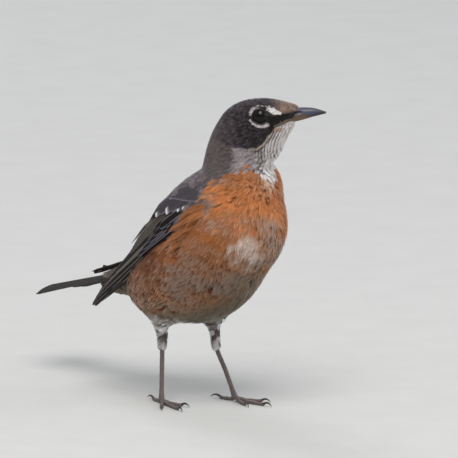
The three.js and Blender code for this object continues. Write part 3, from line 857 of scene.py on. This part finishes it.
# ---- Quills of wings and tail ----
WINGS = {
    "right": {
        "low": [(-28, -34, 122), (-33, -13, 102), (-33, 14, 79), (-28, 42, 60), (-22.5, 62, 50),
                (-19.5, 72, 46.5)],
        "inner": [(-14, -26, 138), (-15, -8, 129), (-12, 15, 112), (-12, 36, 92), (-15, 54, 72),
                  (-18.5, 71, 49)],
    },
    "left": {
        "low": [(28, -30, 120), (33, -11, 101), (30, 16, 84), (19, 42, 72), (1, 66, 67.8), (-10.5, 81, 63.6)],
        "inner": [(14, -24, 137), (15, -6, 128), (12, 16, 111), (8, 36, 93), (-2, 60, 74), (-12, 80.5, 65.3)],
    },
}
FLIGHT = srgb(42, 35, 33)
FLIGHT_DARK = srgb(28, 24, 23)
FLIGHT_EDGE = srgb(146, 136, 128)
COVERT = srgb(92, 86, 93)
COVERT_EDGE = srgb(158, 152, 164)
COVERT_TIP = srgb(240, 238, 242)
ALULA = srgb(30, 26, 29)
TAIL_COLOUR = srgb(22, 20, 20)
# Which of the ten greater coverts have white tips, from the outermost, and how long the tips are.
WHITE_TIPPED = {"right": (1, 2, 5, 6, 8), "left": (1, 3, 5, 6, 8)}
WHITE_SHARE = 0.1
# Where the primaries end, from the outermost, which lies lowest, to the innermost.
PRIMARY_TIPS = [(0.93, 0.1), (0.985, 0.24), (1.0, 0.42), (0.985, 0.56), (0.94, 0.58), (0.88, 0.54),
                (0.81, 0.52), (0.74, 0.5), (0.67, 0.48)]
WING_BED_TOP = 1.6
SURFACE_STEP = 0.01
QUILL_THICKNESS = 0.00012
# Plumes of the flank grow this near to the low edge of the wing, on this share of the roots there.
PLUME_REACH, PLUME_SHARE = 4.5, 0.6
QUILL_COLUMNS = np.array([-1, -0.93, -0.8, -0.45, -0.08, 0, 0.08, 0.5, 0.93, 1])
QUILL_ROWS = np.array([0, 0.12, 0.3, 0.5, 0.68, 0.8, 0.88, 0.94, 0.98, 1])


def wing_bed_depth(side):
    """How far the underside of a wing lies below its outside, by s. The left tip is seen edge on."""
    tip = {"right": 1.6, "left": 3.4}[side]
    return lambda s: 3.3 + (tip - 3.3) * smooth(s, 0.2, 0.8) - (tip - 1.6) * smooth(s, 0.82, 1)


def paired(s, a):
    s, a = np.broadcast_arrays(np.asarray(s, float), np.asarray(a, float))
    return s.ravel(), a.ravel()


def wing_surface(side):
    """The outside of a wing: s runs from wrist to tip, and a from the low edge to the back."""
    shape = WINGS[side]
    sign = SIDES[side]

    def at(s, a):
        s, a = paired(s, a)
        inside = np.clip(a, 0, 1)
        tucked = smooth(inside, 0, 0.2) * fade(inside, 0.75, 1)
        edges = tucked + (1 - tucked) * smooth(s, 0.4, 0.65)
        lift = -1.2 + 3.6 * smooth(s, 0, 0.25) * edges
        places = spline(shape["low"], s) * (1 - a[:, None]) + spline(shape["inner"], s) * a[:, None]
        bulge = np.sin(np.pi * inside) * np.sqrt(np.clip(1 - s, 0, 1))
        places = places + np.array([sign * 3.2, 1.2, 1.6]) * bulge[:, None]
        for _ in range(3):
            distance, away = coat(places)
            short = lift - distance
            held = np.where(short > 0, 1, fade(s, 0.4, 0.6))
            places = places + away * (short * held)[:, None]
        return places

    def width(s):
        s = np.asarray(s, float).ravel()
        return np.linalg.norm(spline(shape["low"], s) - spline(shape["inner"], s), axis=1) + 2

    return at, width, sign


def tail_surface():
    """The upper side of the tail: s runs from root to tip, and a from its right edge to its left."""
    root, tip = np.array([0, 44, 69.5]), np.array([0, 126.5, 47.3])
    up = unit(np.cross([1, 0, 0], tip - root))

    def width(s):
        return 14 + 19 * np.clip(np.asarray(s, float).ravel(), 0, 1.1) ** 0.8

    def at(s, a):
        s, a = paired(s, a)
        across = 2 * a - 1
        drop = 3 * across**2 * (0.5 + 0.5 * s)
        places = root + (tip - root) * s[:, None]
        places = places + np.outer(across * (width(s) / 2), [1, 0, 0])
        return places + up * (0.8 - drop)[:, None]

    return at, width, -1


def directions(surface, s, a):
    """The way along a surface towards its tip, and the way out of it."""
    at, _, sign = surface
    along = at(s + SURFACE_STEP, a) - at(s - SURFACE_STEP, a)
    return unit(along), unit(np.cross(along, at(s, a + SURFACE_STEP) - at(s, a - SURFACE_STEP))) * sign


def quills(name, surface, rows, slot, cad_node):
    """Long feathers that lie on a surface. Each row gives root and tip as (s, a), the width in mm, the
    height over the surface, how pointed the tip is, the colours of vane and edge, and whether the tip
    is white."""
    at, span, _ = surface
    columns, steps = len(QUILL_COLUMNS), len(QUILL_ROWS)
    t, c = (values.ravel() for values in np.meshgrid(QUILL_ROWS, QUILL_COLUMNS, indexing="ij"))
    own = np.stack([c / 2 + 0.5, t], 1)
    places, colours, bake = [], [], []
    cells = math.ceil(math.sqrt(len(rows)))
    for k, (root, tip, wide, height, point, tint, edge, white) in enumerate(rows):
        taper = 0.4 + 0.6 * smooth(t, 0, 0.3)
        start = 1 - point
        over = np.clip((t - start) / (1 - start), 0, 1)
        taper = taper * np.sqrt(np.clip(1 - over**2, 0, 1)) + 0.02
        s = root[0] + (tip[0] - root[0]) * t
        bend = 0.06 * np.sin(np.pi * t) * (1 if tip[1] < root[1] else -1)
        a = root[1] + (tip[1] - root[1]) * t + bend * abs(tip[1] - root[1])
        a = a + c * taper * wide / 2 / span(s)
        ridge = 0.16 * bell(c, 0.1) * (1 - t)
        lift = height + ridge - 0.1 * c**2 + 0.12 * t
        places.append(at(s, a) + directions(surface, s, a)[1] * lift[:, None])
        rim = smooth(np.abs(c), 0.84, 0.97) * smooth(t, 0.05, 0.2)
        # Darker across towards the side that the next quill laps over: partly the darker inner web, partly
        # painted shade under that quill's edge.
        tone = np.outer(1 - 0.45 * smooth(c, -0.93, -0.4), tint)
        tone = mix(tone, edge, rim * np.where(c < 0, 1, 0.55))
        tone = mix(tone, np.asarray(tint) * 0.6, bell(c, 0.07) * 0.8)
        if white:
            tone = mix(tone, COVERT_TIP, smooth(t, 1 - WHITE_SHARE - 0.05, 1 - WHITE_SHARE + 0.03))
        colours.append(tone * (1 + 0.08 * rng.normal()))
        bake.append(cell(k, cells, own, 0.05))
    n = len(rows)
    offset = np.arange(n)[:, None, None] * columns * steps
    faces = (grid_faces(steps, columns)[None] + offset).reshape(-1, 4)
    maps = {"OFBake": np.concatenate(bake), "Vane": np.tile(own, (n, 1))}
    colours = np.clip(np.concatenate(colours), *TONE_LIMITS)
    obj = add_mesh(name, np.concatenate(places), [faces], QUILL, colours, maps)
    thick = obj.modifiers.new("thick", "SOLIDIFY")
    thick.thickness = QUILL_THICKNESS
    thick.offset = -1
    return settle_in(obj, slot, cad_node)


def row_of_quills(count, first, last, height, rise, point, tint, edge, tips=None, white=(), ragged=0.0):
    """Quills set evenly between two, which are (root, tip, width). height is that of the first, and the
    last lies higher by rise; tips, where given, are where they end; white lists the white-tipped."""
    for k in range(count):
        w = k / (count - 1)
        root, tip, wide = (np.asarray(p, float) * (1 - w) + np.asarray(q, float) * w
                           for p, q in zip(first, last))
        tip = tips[k] if tips else tip + [ragged * (7 * k % 3 - 1), 0]
        yield root, tip, wide, height + rise * w, point, tint, edge, k in white


def bed(name, surface, top, under, tint, slot, rows=30, columns=13):
    """The closed underside that quills lie on."""
    s, a = paired(np.linspace(0.0, 0.985, rows)[:, None], np.linspace(0.02, 0.98, columns)[None])
    base = surface[0](s, a)
    normal = directions(surface, s, a)[1]
    edge = np.minimum(smooth(a, 0.0, 0.12), smooth(1 - a, 0.0, 0.12))
    if name.startswith("wing_left"):
        # The narrow tip of this wing twists, so there its underside is measured straight down.
        normal = unit(mix(normal, np.array([0, 0, 1.0]), smooth(s, 0.55, 0.75)))
    upper = base - normal * top
    lower = base - normal * (top + 0.1 + (under(s) - top) * edge)[:, None]
    places = np.concatenate([upper, lower])
    faces = grid_faces(rows, columns)
    n = rows * columns
    i, j = np.arange(rows - 1), np.arange(columns - 1)
    rims = [(i * columns + column, (i + 1) * columns + column) for column in (0, columns - 1)]
    rims += [(row * columns + j, row * columns + j + 1) for row in (0, rows - 1)]
    rims = [np.stack([p, q, q + n, p + n], 1) for p, q in rims]
    uv = np.stack([a, s], 1)
    maps = {"OFBake": np.concatenate([uv * [0.48, 1], uv * [0.48, 1] + [0.5, 0]]),
            "Vane": np.concatenate([(uv * [6, 1]) % 1.0] * 2)}
    tone = np.asarray(tint) * (0.9 + 0.2 * ripple(places, 6.0, 5))[:, None]
    return settle_in(add_mesh(name, places, [faces, faces + n, *rims], QUILL, tone, maps), slot)


def wing_coat_paint(places, chance):
    """The small coverts and the scapulars: slate with paler, bluish edges."""
    patches = ripple(places, 5.0, 14)
    middle = mix(COVERT * 0.7, MANTLE * 0.8, smooth(patches, 0.3, 0.7)) * (0.7 + 0.5 * chance)[:, None]
    fringe = mix(COVERT_EDGE, MANTLE * 1.1, smooth(patches, 0.4, 0.8)) * (0.75 + 0.5 * chance)[:, None]
    return middle, fringe, np.full(len(places), 0.66)


def plume_paint(places, chance):
    """The long feathers of the flank: rust, and buff white at the rear."""
    rear = smooth(places[:, 1] + 6 * (chance - 0.5), -8, 0)
    middle = mix(RUST * 0.75, DEEP_RUST, 0.7 * chance)
    middle = mix(middle, BUFF * 0.9, 0.8 * rear)
    fringe = mix(RUST_FRINGE * 0.8, mix(BUFF, WHITE, 0.4), rear)
    return middle, fringe, np.full(len(places), 0.5)


def wing_coat(name, surface, s_range, a_range, pitch, long, wide, over, slot):
    """Small feathers in loose rows over a part of the wing."""
    at, span, _ = surface
    reach = np.linalg.norm(at(s_range[1], 0.5) - at(s_range[0], 0.5))
    down = max(int(reach / pitch), 2)
    along = max(int(span(np.mean(s_range))[0] * (a_range[1] - a_range[0]) / pitch), 2)
    i, j = (values.ravel() for values in np.meshgrid(np.arange(down), np.arange(along), indexing="ij"))
    u = (i + rng.uniform(0.2, 0.8, i.size)) / down
    v = (j + 0.5 * (i % 2) + rng.uniform(0.1, 0.5, i.size)) / along
    s = s_range[0] + (s_range[1] - s_range[0]) * u
    a = a_range[0] + (a_range[1] - a_range[0]) * v
    root = at(s, a)
    lie, away = directions(surface, s, a)
    patch = np.stack([0.02 + 0.9 * u, 0.02 + 0.9 * v], 1)
    lift = coat(root)[0] + over
    feathers(name, (root, lie, away, patch), long, wide, 8, 0.55, lift + 0.35, -lift, slot,
             paint=wing_coat_paint)


for side, sign in SIDES.items():
    surface = wing_surface(side)
    primaries = row_of_quills(9, ((0.16, 0.18), (0.985, 0.35), 6.0), ((0.17, 0.42), (0.64, 0.52), 7.5),
                              -1.5, 1.1, 0.16, FLIGHT_DARK, FLIGHT_EDGE, tips=PRIMARY_TIPS)
    secondaries = row_of_quills(6, ((0.16, 0.44), (0.57, 0.5), 7.5), ((0.17, 0.66), (0.55, 0.76), 8.0),
                                -0.5, 0.5, 0.08, FLIGHT, FLIGHT_EDGE)
    tertials = row_of_quills(6, ((0.17, 0.7), (0.48, 0.78), 8.0), ((0.13, 0.99), (0.66, 1.0), 9.5),
                             0.05, 0.45, 0.16, FLIGHT, FLIGHT_EDGE * 1.1)
    alula = row_of_quills(5, ((0.1, 0.2), (0.43, 0.24), 4.6), ((0.12, 0.3), (0.3, 0.38), 5.0),
                          0.0, 0.4, 0.14, ALULA, COVERT_EDGE)
    greater = row_of_quills(10, ((0.02, 0.3), (0.125, 0.3), 4.4), ((0.22, 0.7), (0.35, 0.7), 5.6),
                            0.35, 0.4, 0.12, COVERT, COVERT_EDGE, white=WHITE_TIPPED[side], ragged=0.012)
    median = row_of_quills(9, ((-0.02, 0.34), (0.07, 0.36), 4.2), ((0.14, 0.76), (0.25, 0.76), 5.0),
                           0.75, 0.2, 0.12, COVERT * 1.1, COVERT_EDGE)
    wing = f"wing_{side}"
    quills(f"{wing}_primary_quills", surface, list(primaries), "flight_feathers", f"{wing}_primaries")
    quills(f"{wing}_secondary_quills", surface, [*secondaries, *tertials], "flight_feathers",
           f"{wing}_secondaries")
    quills(f"{wing}_covert_feathers", surface, [*alula, *greater, *median], "slate_feathers",
           f"{wing}_coverts")
    bed(f"{wing}_bed", surface, WING_BED_TOP, wing_bed_depth(side), FLIGHT * 1.3, "flight_feathers")
    wing_coat(f"{wing}_small_coverts", surface, (-0.07, 0.11), (0.2, 0.95), 2.1, 7.0, 4.2, 0.85,
              "slate_feathers")
    wing_coat(f"{wing}_scapulars", surface, (-0.07, 0.22), (0.72, 1.12), 2.2, 8.5, 4.6, 0.9, "slate_feathers")
    # Plumes of the flank lap over the low edge of the wing.
    line = surface[0](np.linspace(-0.02, 0.2, 23), 0.0)
    to_line = np.linalg.norm(roots[:, None] - line[None], axis=2).min(1)
    near = (to_line < PLUME_REACH) & (sign * roots[:, 0] > 0) & (rng.random(len(roots)) < PLUME_SHARE)
    feathers(f"flank_{side}_plumes", growing(near), rng.uniform(9, 15, near.sum()), 3.0, 10, 0.25, 2.6,
             root_depth[near], "rust_feathers", lean=8 * sign, paint=plume_paint)

surface = tail_surface()
rows = []
for pair in range(6):
    for sign in (-1, 1):
        root_a = 0.5 + sign * 0.06 * (5.5 - pair) / 1.2
        tip_a = 0.5 + sign * (0.43 - 0.075 * pair)
        length = 1 - 0.035 * abs(2 * tip_a - 1) ** 3
        rows.append(((0.02, root_a), (length, tip_a), 8.6, -0.75 + 0.16 * pair, 0.06, TAIL_COLOUR,
                     FLIGHT_EDGE * 0.3, False))
quills("tail_quills", surface, rows, "flight_feathers", "tail")
bed("tail_bed", surface, 1.0, lambda s: np.full(len(s), 1.7), TAIL_COLOUR * 0.9, "flight_feathers", rows=24)

# ---- Head: bill, eyes and lids ----
# Along the bill: ahead of the eyes, height of ridge, mouth and chin, and half width.
BILL = [(7, 2.5, -6.6, -8.6, 11.7), (9, 2.4, -6.2, -8.2, 10.8), (11, 2.2, -5.7, -7.9, 9.8),
        (13, 1.8, -5.2, -7.5, 8.5), (15, 1.2, -4.7, -7, 6.9), (17.5, 1.0, -4.3, -6.6, 4.9),
        (21.5, 0.8, -3.8, -6.2, 3.6), (28.5, -0.3, -3.7, -5, 2.2), (35.3, -3.1, -3.6, -4.1, 0.4)]
BILL_START, BILL_LENGTH = 7, 28.3
NOSTRIL_AHEAD, NOSTRIL_UP = 20.8, -1.4
BILL_SLATE, BILL_BROWN, BILL_YELLOW = srgb(60, 60, 82), srgb(58, 42, 30), srgb(100, 74, 44)
PUPIL, IRIS, EYE_RIM = srgb(8, 6, 6), srgb(26, 16, 11), srgb(14, 11, 10)
LID_COLOUR = srgb(26, 22, 22)
LID_RADIUS, LID_OUT = 4.26, 2.62


def from_head(across, ahead, up):
    return (np.stack(np.broadcast_arrays(across, -ahead, up), -1) @ HEAD_TURN.T + EYES).reshape(-1, 3)


def bill_half(name, upper, slot, cad_node):
    rows, columns = 72, 40
    sign = 1 if upper else -1
    s = np.linspace(0, 1, rows)[:, None]
    ahead = BILL_START + BILL_LENGTH * s
    stations = spline(BILL, np.linspace(0, 1, 200)).T
    ridge, mouth, chin, half = (np.interp(ahead, stations[0], row) for row in stations[1:])
    edge = ridge if upper else chin
    free_part = smooth(ahead, 13, 19)
    angle = around(columns)[None]
    c, d = np.cos(angle), sign * np.sin(angle)
    # A keel along the ridge, and a lip along the mouth.
    across = half * np.sign(c) * np.abs(c) ** (1 - 0.15 * free_part)
    flat = mouth + sign * 0.1
    rise = np.clip(d, 0, 1)
    height = flat + (edge - flat) * rise ** (1.9 - 0.95 * free_part)
    height = height - sign * 0.04 * np.minimum(half, 4.5) * np.clip(-d, 0, 1)
    if upper:
        nostril = np.exp(-(((ahead - NOSTRIL_AHEAD) / 1.5) ** 2) - (((height - NOSTRIL_UP) / 0.55) ** 2))
        across = across * (1 - 0.28 * nostril)
        low = smooth(rise, 0.42, 0.08)
        tone = mix(BILL_SLATE, BILL_YELLOW * 0.8, low * fade(ahead, 20, 27))
        tone = mix(tone, BILL_YELLOW * 1.1, fade(ahead, 12, 16))
        tone = mix(tone, srgb(34, 32, 44), smooth(ahead, 27, 34) * 0.8)
        tone = mix(tone, srgb(18, 14, 12), np.clip(nostril * 1.3, 0, 1))
    else:
        tone = mix(BILL_YELLOW, BILL_BROWN, 0.55 * rise)
        tone = mix(tone, srgb(40, 35, 38), smooth(ahead, 23, 29))
        tone = mix(tone, BILL_BROWN * 1.1, fade(ahead, 10, 14))
    places = from_head(across, ahead, height)
    places = np.vstack([places, places[:columns].mean(0), places[-columns:].mean(0)])
    tone = np.vstack([tone.reshape(-1, 3), tone[0].mean(0), tone[-1].mean(0)])
    uv = np.vstack([unwrapped(angle, s), [0.5, 0], [0.5, 1]])
    obj = add_mesh(name, places, capped_faces(rows, columns), HORN, tone, {"OFBake": uv})
    return settle_in(obj, slot, cad_node)


def eyeball(side, sign):
    rows, columns = 40, 48
    polar = np.linspace(0, np.pi, rows)[:, None]
    angle = around(columns)[None]
    # The cornea bulges a little over the pupil.
    radius = EYE_RADIUS + 0.18 * bell(polar, 0.5)
    girth = radius * np.sin(polar)
    across = sign * (EYE_SPREAD - 0.1 + radius * np.cos(polar))
    places = from_head(across, girth * np.cos(angle), girth * np.sin(angle))
    tone = mix(mix(PUPIL, IRIS, smooth(girth, 2.3, 2.9)), EYE_RIM, smooth(girth, 3.7, 4.1))
    tone = np.broadcast_to(tone, (rows, columns, 3)).reshape(-1, 3)
    ball = add_mesh(f"eyeball_{side}", places, [grid_faces(rows, columns, closed=True)], EYE, tone,
                    {"OFBake": unwrapped(angle, polar / np.pi)})
    settle_in(ball, "eye", f"eye_{side}")


def eyelids(side, sign):
    """The lids: a soft ring that hugs the eyeball."""
    rows, columns = 64, 12
    a = around(rows)[:, None]
    b = around(columns)[None]
    thick = 0.42 + 0.05 * np.cos(9 * a + np.sin(3 * a))
    ring = LID_RADIUS + thick * np.cos(b)
    across = sign * (EYE_SPREAD + LID_OUT + 0.85 * thick * np.sin(b))
    places = from_head(across, ring * np.cos(a), ring * np.sin(a))
    faces = grid_faces(rows + 1, columns, closed=True) % (rows * columns)
    tone = LID_COLOUR * (0.85 + 0.3 * ripple(places, 1.0, 6))[:, None]
    lids = add_mesh(f"eyelids_{side}", places, [faces], LID, tone, {"OFBake": unwrapped(a, b / 7)})
    settle_in(lids, "leg_skin")


bill_half("bill_upper_horn", True, "dark_horn", "bill_upper")
bill_half("bill_lower_horn", False, "yellow_horn", "bill_lower")
for side, sign in SIDES.items():
    eyeball(side, sign)
    eyelids(side, sign)


# ---- Legs ----
LEG_COLOUR = srgb(100, 88, 86)
CLAW_COLOUR = srgb(48, 40, 38)
TOES = [("hind", 180, 11.5, 7.5), ("inner", 28, 14, 5.2), ("middle", 0, 20.5, 5.8), ("outer", -27, 15, 5)]


def tube(line, radius_at, columns, rows, side=(1, 0, 0), floor=-math.inf):
    """Points, faces, caps and unwrap of a round limb along a curve. radius_at(s, turn) is an array, and
    nothing goes below floor."""
    s = np.linspace(0, 1, rows)
    middle = spline(line, s)
    tangent = unit(np.gradient(middle, axis=0))
    up = unit(np.cross(tangent, np.array(side, float)))
    across = unit(np.cross(up, tangent))
    b = around(columns)
    radius = radius_at(s[:, None], b[None])
    places = (middle[:, None] + (radius * np.cos(b))[..., None] * across[:, None]
              + (radius * np.sin(b))[..., None] * up[:, None])
    places = np.vstack([places.reshape(-1, 3), middle[0], middle[-1]])
    places[:, 2] = np.maximum(places[:, 2], floor)
    uv = np.vstack([unwrapped(b[None], s[:, None]), [0.5, 0], [0.5, 1]])
    return places, *capped_faces(rows, columns), uv


def joined(name, parts, look, slot, *nodes):
    """One mesh of tubes with their colours, each tube in a cell of its own on the unwrap."""
    places, quads, caps, uvs, tones = [], [], [], [], []
    count = 0
    cells = math.ceil(math.sqrt(len(parts)))
    for k, ((p, q, c, uv), colour) in enumerate(parts):
        places.append(p)
        quads.append(q + count)
        caps.append(c + count)
        uvs.append(cell(k, cells, uv, 0.04))
        tones.append(colour * (0.88 + 0.24 * ripple(p, 2.0, 8))[:, None])
        count += len(p)
    faces = [np.concatenate(quads), np.concatenate(caps)]
    maps = {"OFBake": np.concatenate(uvs)}
    obj = add_mesh(name, np.concatenate(places), faces, look, np.concatenate(tones), maps)
    return settle_in(obj, slot, *nodes)


def scutes(s, count, depth):
    """A saw-tooth of overlapping scutes along a limb."""
    phase = (s * count) % 1.0
    return depth * (phase - 0.5)


def shank(s, b):
    swell = 1 + 0.35 * smooth(s, 0.85, 1) + 0.42 * fade(s, 0, 0.2)
    front = 0.5 + 0.5 * np.sin(b - np.pi / 2)
    return 1.35 * swell * (0.88 + 0.12 * np.abs(np.sin(b))) + scutes(s, 11, 0.13) * (0.4 + 0.6 * front)


def digit(long):
    """The radius of a toe of this length, with its knuckles and its rounded end."""
    def radius(s, b):
        knuckle = 1.15 * (1 - 0.2 * s) * (1 + 0.1 * np.cos(s * 6 * np.pi))
        closing = np.sqrt(np.clip(1 - np.clip((s - 0.93) / 0.09, 0, 1) ** 2, 0.03, 1))
        return (knuckle + scutes(s, long / 1.5, 0.12)) * closing

    return radius


def horn(s, b):
    return 0.72 * (1 - 0.86 * s**1.3) + 0 * b


for side, sign in SIDES.items():
    leg = LEGS[side]
    fx, fy = leg["foot"]
    ankle = np.array(leg["ankle"], float)
    foot_top = np.array([fx, fy + 0.5, 3.2])
    line = [ankle + [0, 0, 3.5], ankle, (ankle + foot_top) / 2, foot_top - [0, 0, 1.5]]
    parts = [(tube(line, shank, 20, 90), LEG_COLOUR)]
    claws = []
    for _, toe_turn, long, claw in TOES:
        heading = math.radians(sign * (leg["toe_out"] - toe_turn))

        def out(distance, height):
            return (fx + distance * math.sin(heading), fy - distance * math.cos(heading), height)

        line = [out(-0.8, 2.7), out(0.22 * long, 1.45), out(0.6 * long, 0.95), out(long, 1.0)]
        parts.append((tube(line, digit(long), 16, 44, side=(0, 0, 1), floor=0.0), LEG_COLOUR * 1.05))
        nail = [out(long - 0.4, 1.35), out(long + 0.35 * claw, 2.15), out(long + 0.72 * claw, 1.55),
                out(long + 0.95 * claw, 0.35)]
        claws.append((tube(nail, horn, 12, 20, side=(0, 0, 1), floor=0.05), CLAW_COLOUR))
    joined(f"leg_{side}", parts, LEG, "leg_skin", f"tarsus_{side}", f"foot_{side}")
    joined(f"claws_{side}", claws, CLAW, "claw", *[f"claw_{side}_{toe[0]}" for toe in TOES])

# ---- Studio ----
FLOOR_SIZE = 60
GROUND, GROUND_GRAIN = (0.60, 0.60, 0.585, 1), (0.66, 0.66, 0.645, 1)
AZIMUTH, ELEVATION = math.radians(-40), math.radians(11)
TARGET = [13.3, -10.1, 98.3]
DISTANCE = 9.0
FRAME_WIDTH = 0.2544
SENSOR = 36
# Each lamp: its name, place, size, power and colour.
LAMPS = [("key", (-0.9, -1.0, 2.2), 1.6, 42, (1.0, 0.98, 0.95)),
         ("fill", (1.8, -1.6, 1.0), 1.6, 18, (0.93, 0.96, 1.0)),
         ("rim", (0.6, 2.0, 1.8), 1.2, 16, (0.95, 0.97, 1.0))]
LIT = Vector((0, 0, 0.1))
SKY_COLOUR, SKY_STRENGTH = (0.80, 0.82, 0.85, 1), 0.52

bpy.ops.mesh.primitive_plane_add(size=FLOOR_SIZE, location=(0, 0, 0))
floor = bpy.context.object
floor.name = "floor"
ground = Look("pale_floor", Roughness=0.85, Specular_IOR_Level=0.15)
tone = ground.node("ShaderNodeValToRGB", {0: ground.noise(40.0, 3.0)})
tone.color_ramp.elements[0].color = GROUND
tone.color_ramp.elements[1].color = GROUND_GRAIN
ground.set("Base Color", tone.outputs[0])
floor.data.materials.append(ground.material)


def aimed(name, data, place, back):
    """A camera or a lamp at a place, looking against back."""
    obj = bpy.data.objects.new(name, data)
    obj.location = place
    obj.rotation_mode = "QUATERNION"
    obj.rotation_quaternion = (-back).to_track_quat("-Z", "Y")
    bpy.context.scene.collection.objects.link(obj)
    return obj


back = Vector((math.sin(AZIMUTH) * math.cos(ELEVATION), -math.cos(AZIMUTH) * math.cos(ELEVATION),
               math.sin(ELEVATION)))
lens = bpy.data.cameras.new("camera")
lens.sensor_width = SENSOR
lens.lens = SENSOR * DISTANCE / FRAME_WIDTH
lens.clip_start, lens.clip_end = 0.1, 200
bpy.context.scene.camera = aimed("camera", lens, Vector(to_frame(TARGET)) + back * DISTANCE, back)

for name, place, size, power, colour in LAMPS:
    lamp = bpy.data.lights.new(name, "AREA")
    lamp.shape = "DISK"
    lamp.size = size
    lamp.energy = power
    lamp.color = colour
    aimed(name, lamp, place, Vector(place) - LIT)

world = bpy.data.worlds.new("studio")
bpy.context.scene.world = world
world.use_nodes = True
backdrop = world.node_tree.nodes["Background"]
backdrop.inputs[0].default_value = SKY_COLOUR
backdrop.inputs[1].default_value = SKY_STRENGTH
bpy.context.scene.view_settings.view_transform = "Standard"
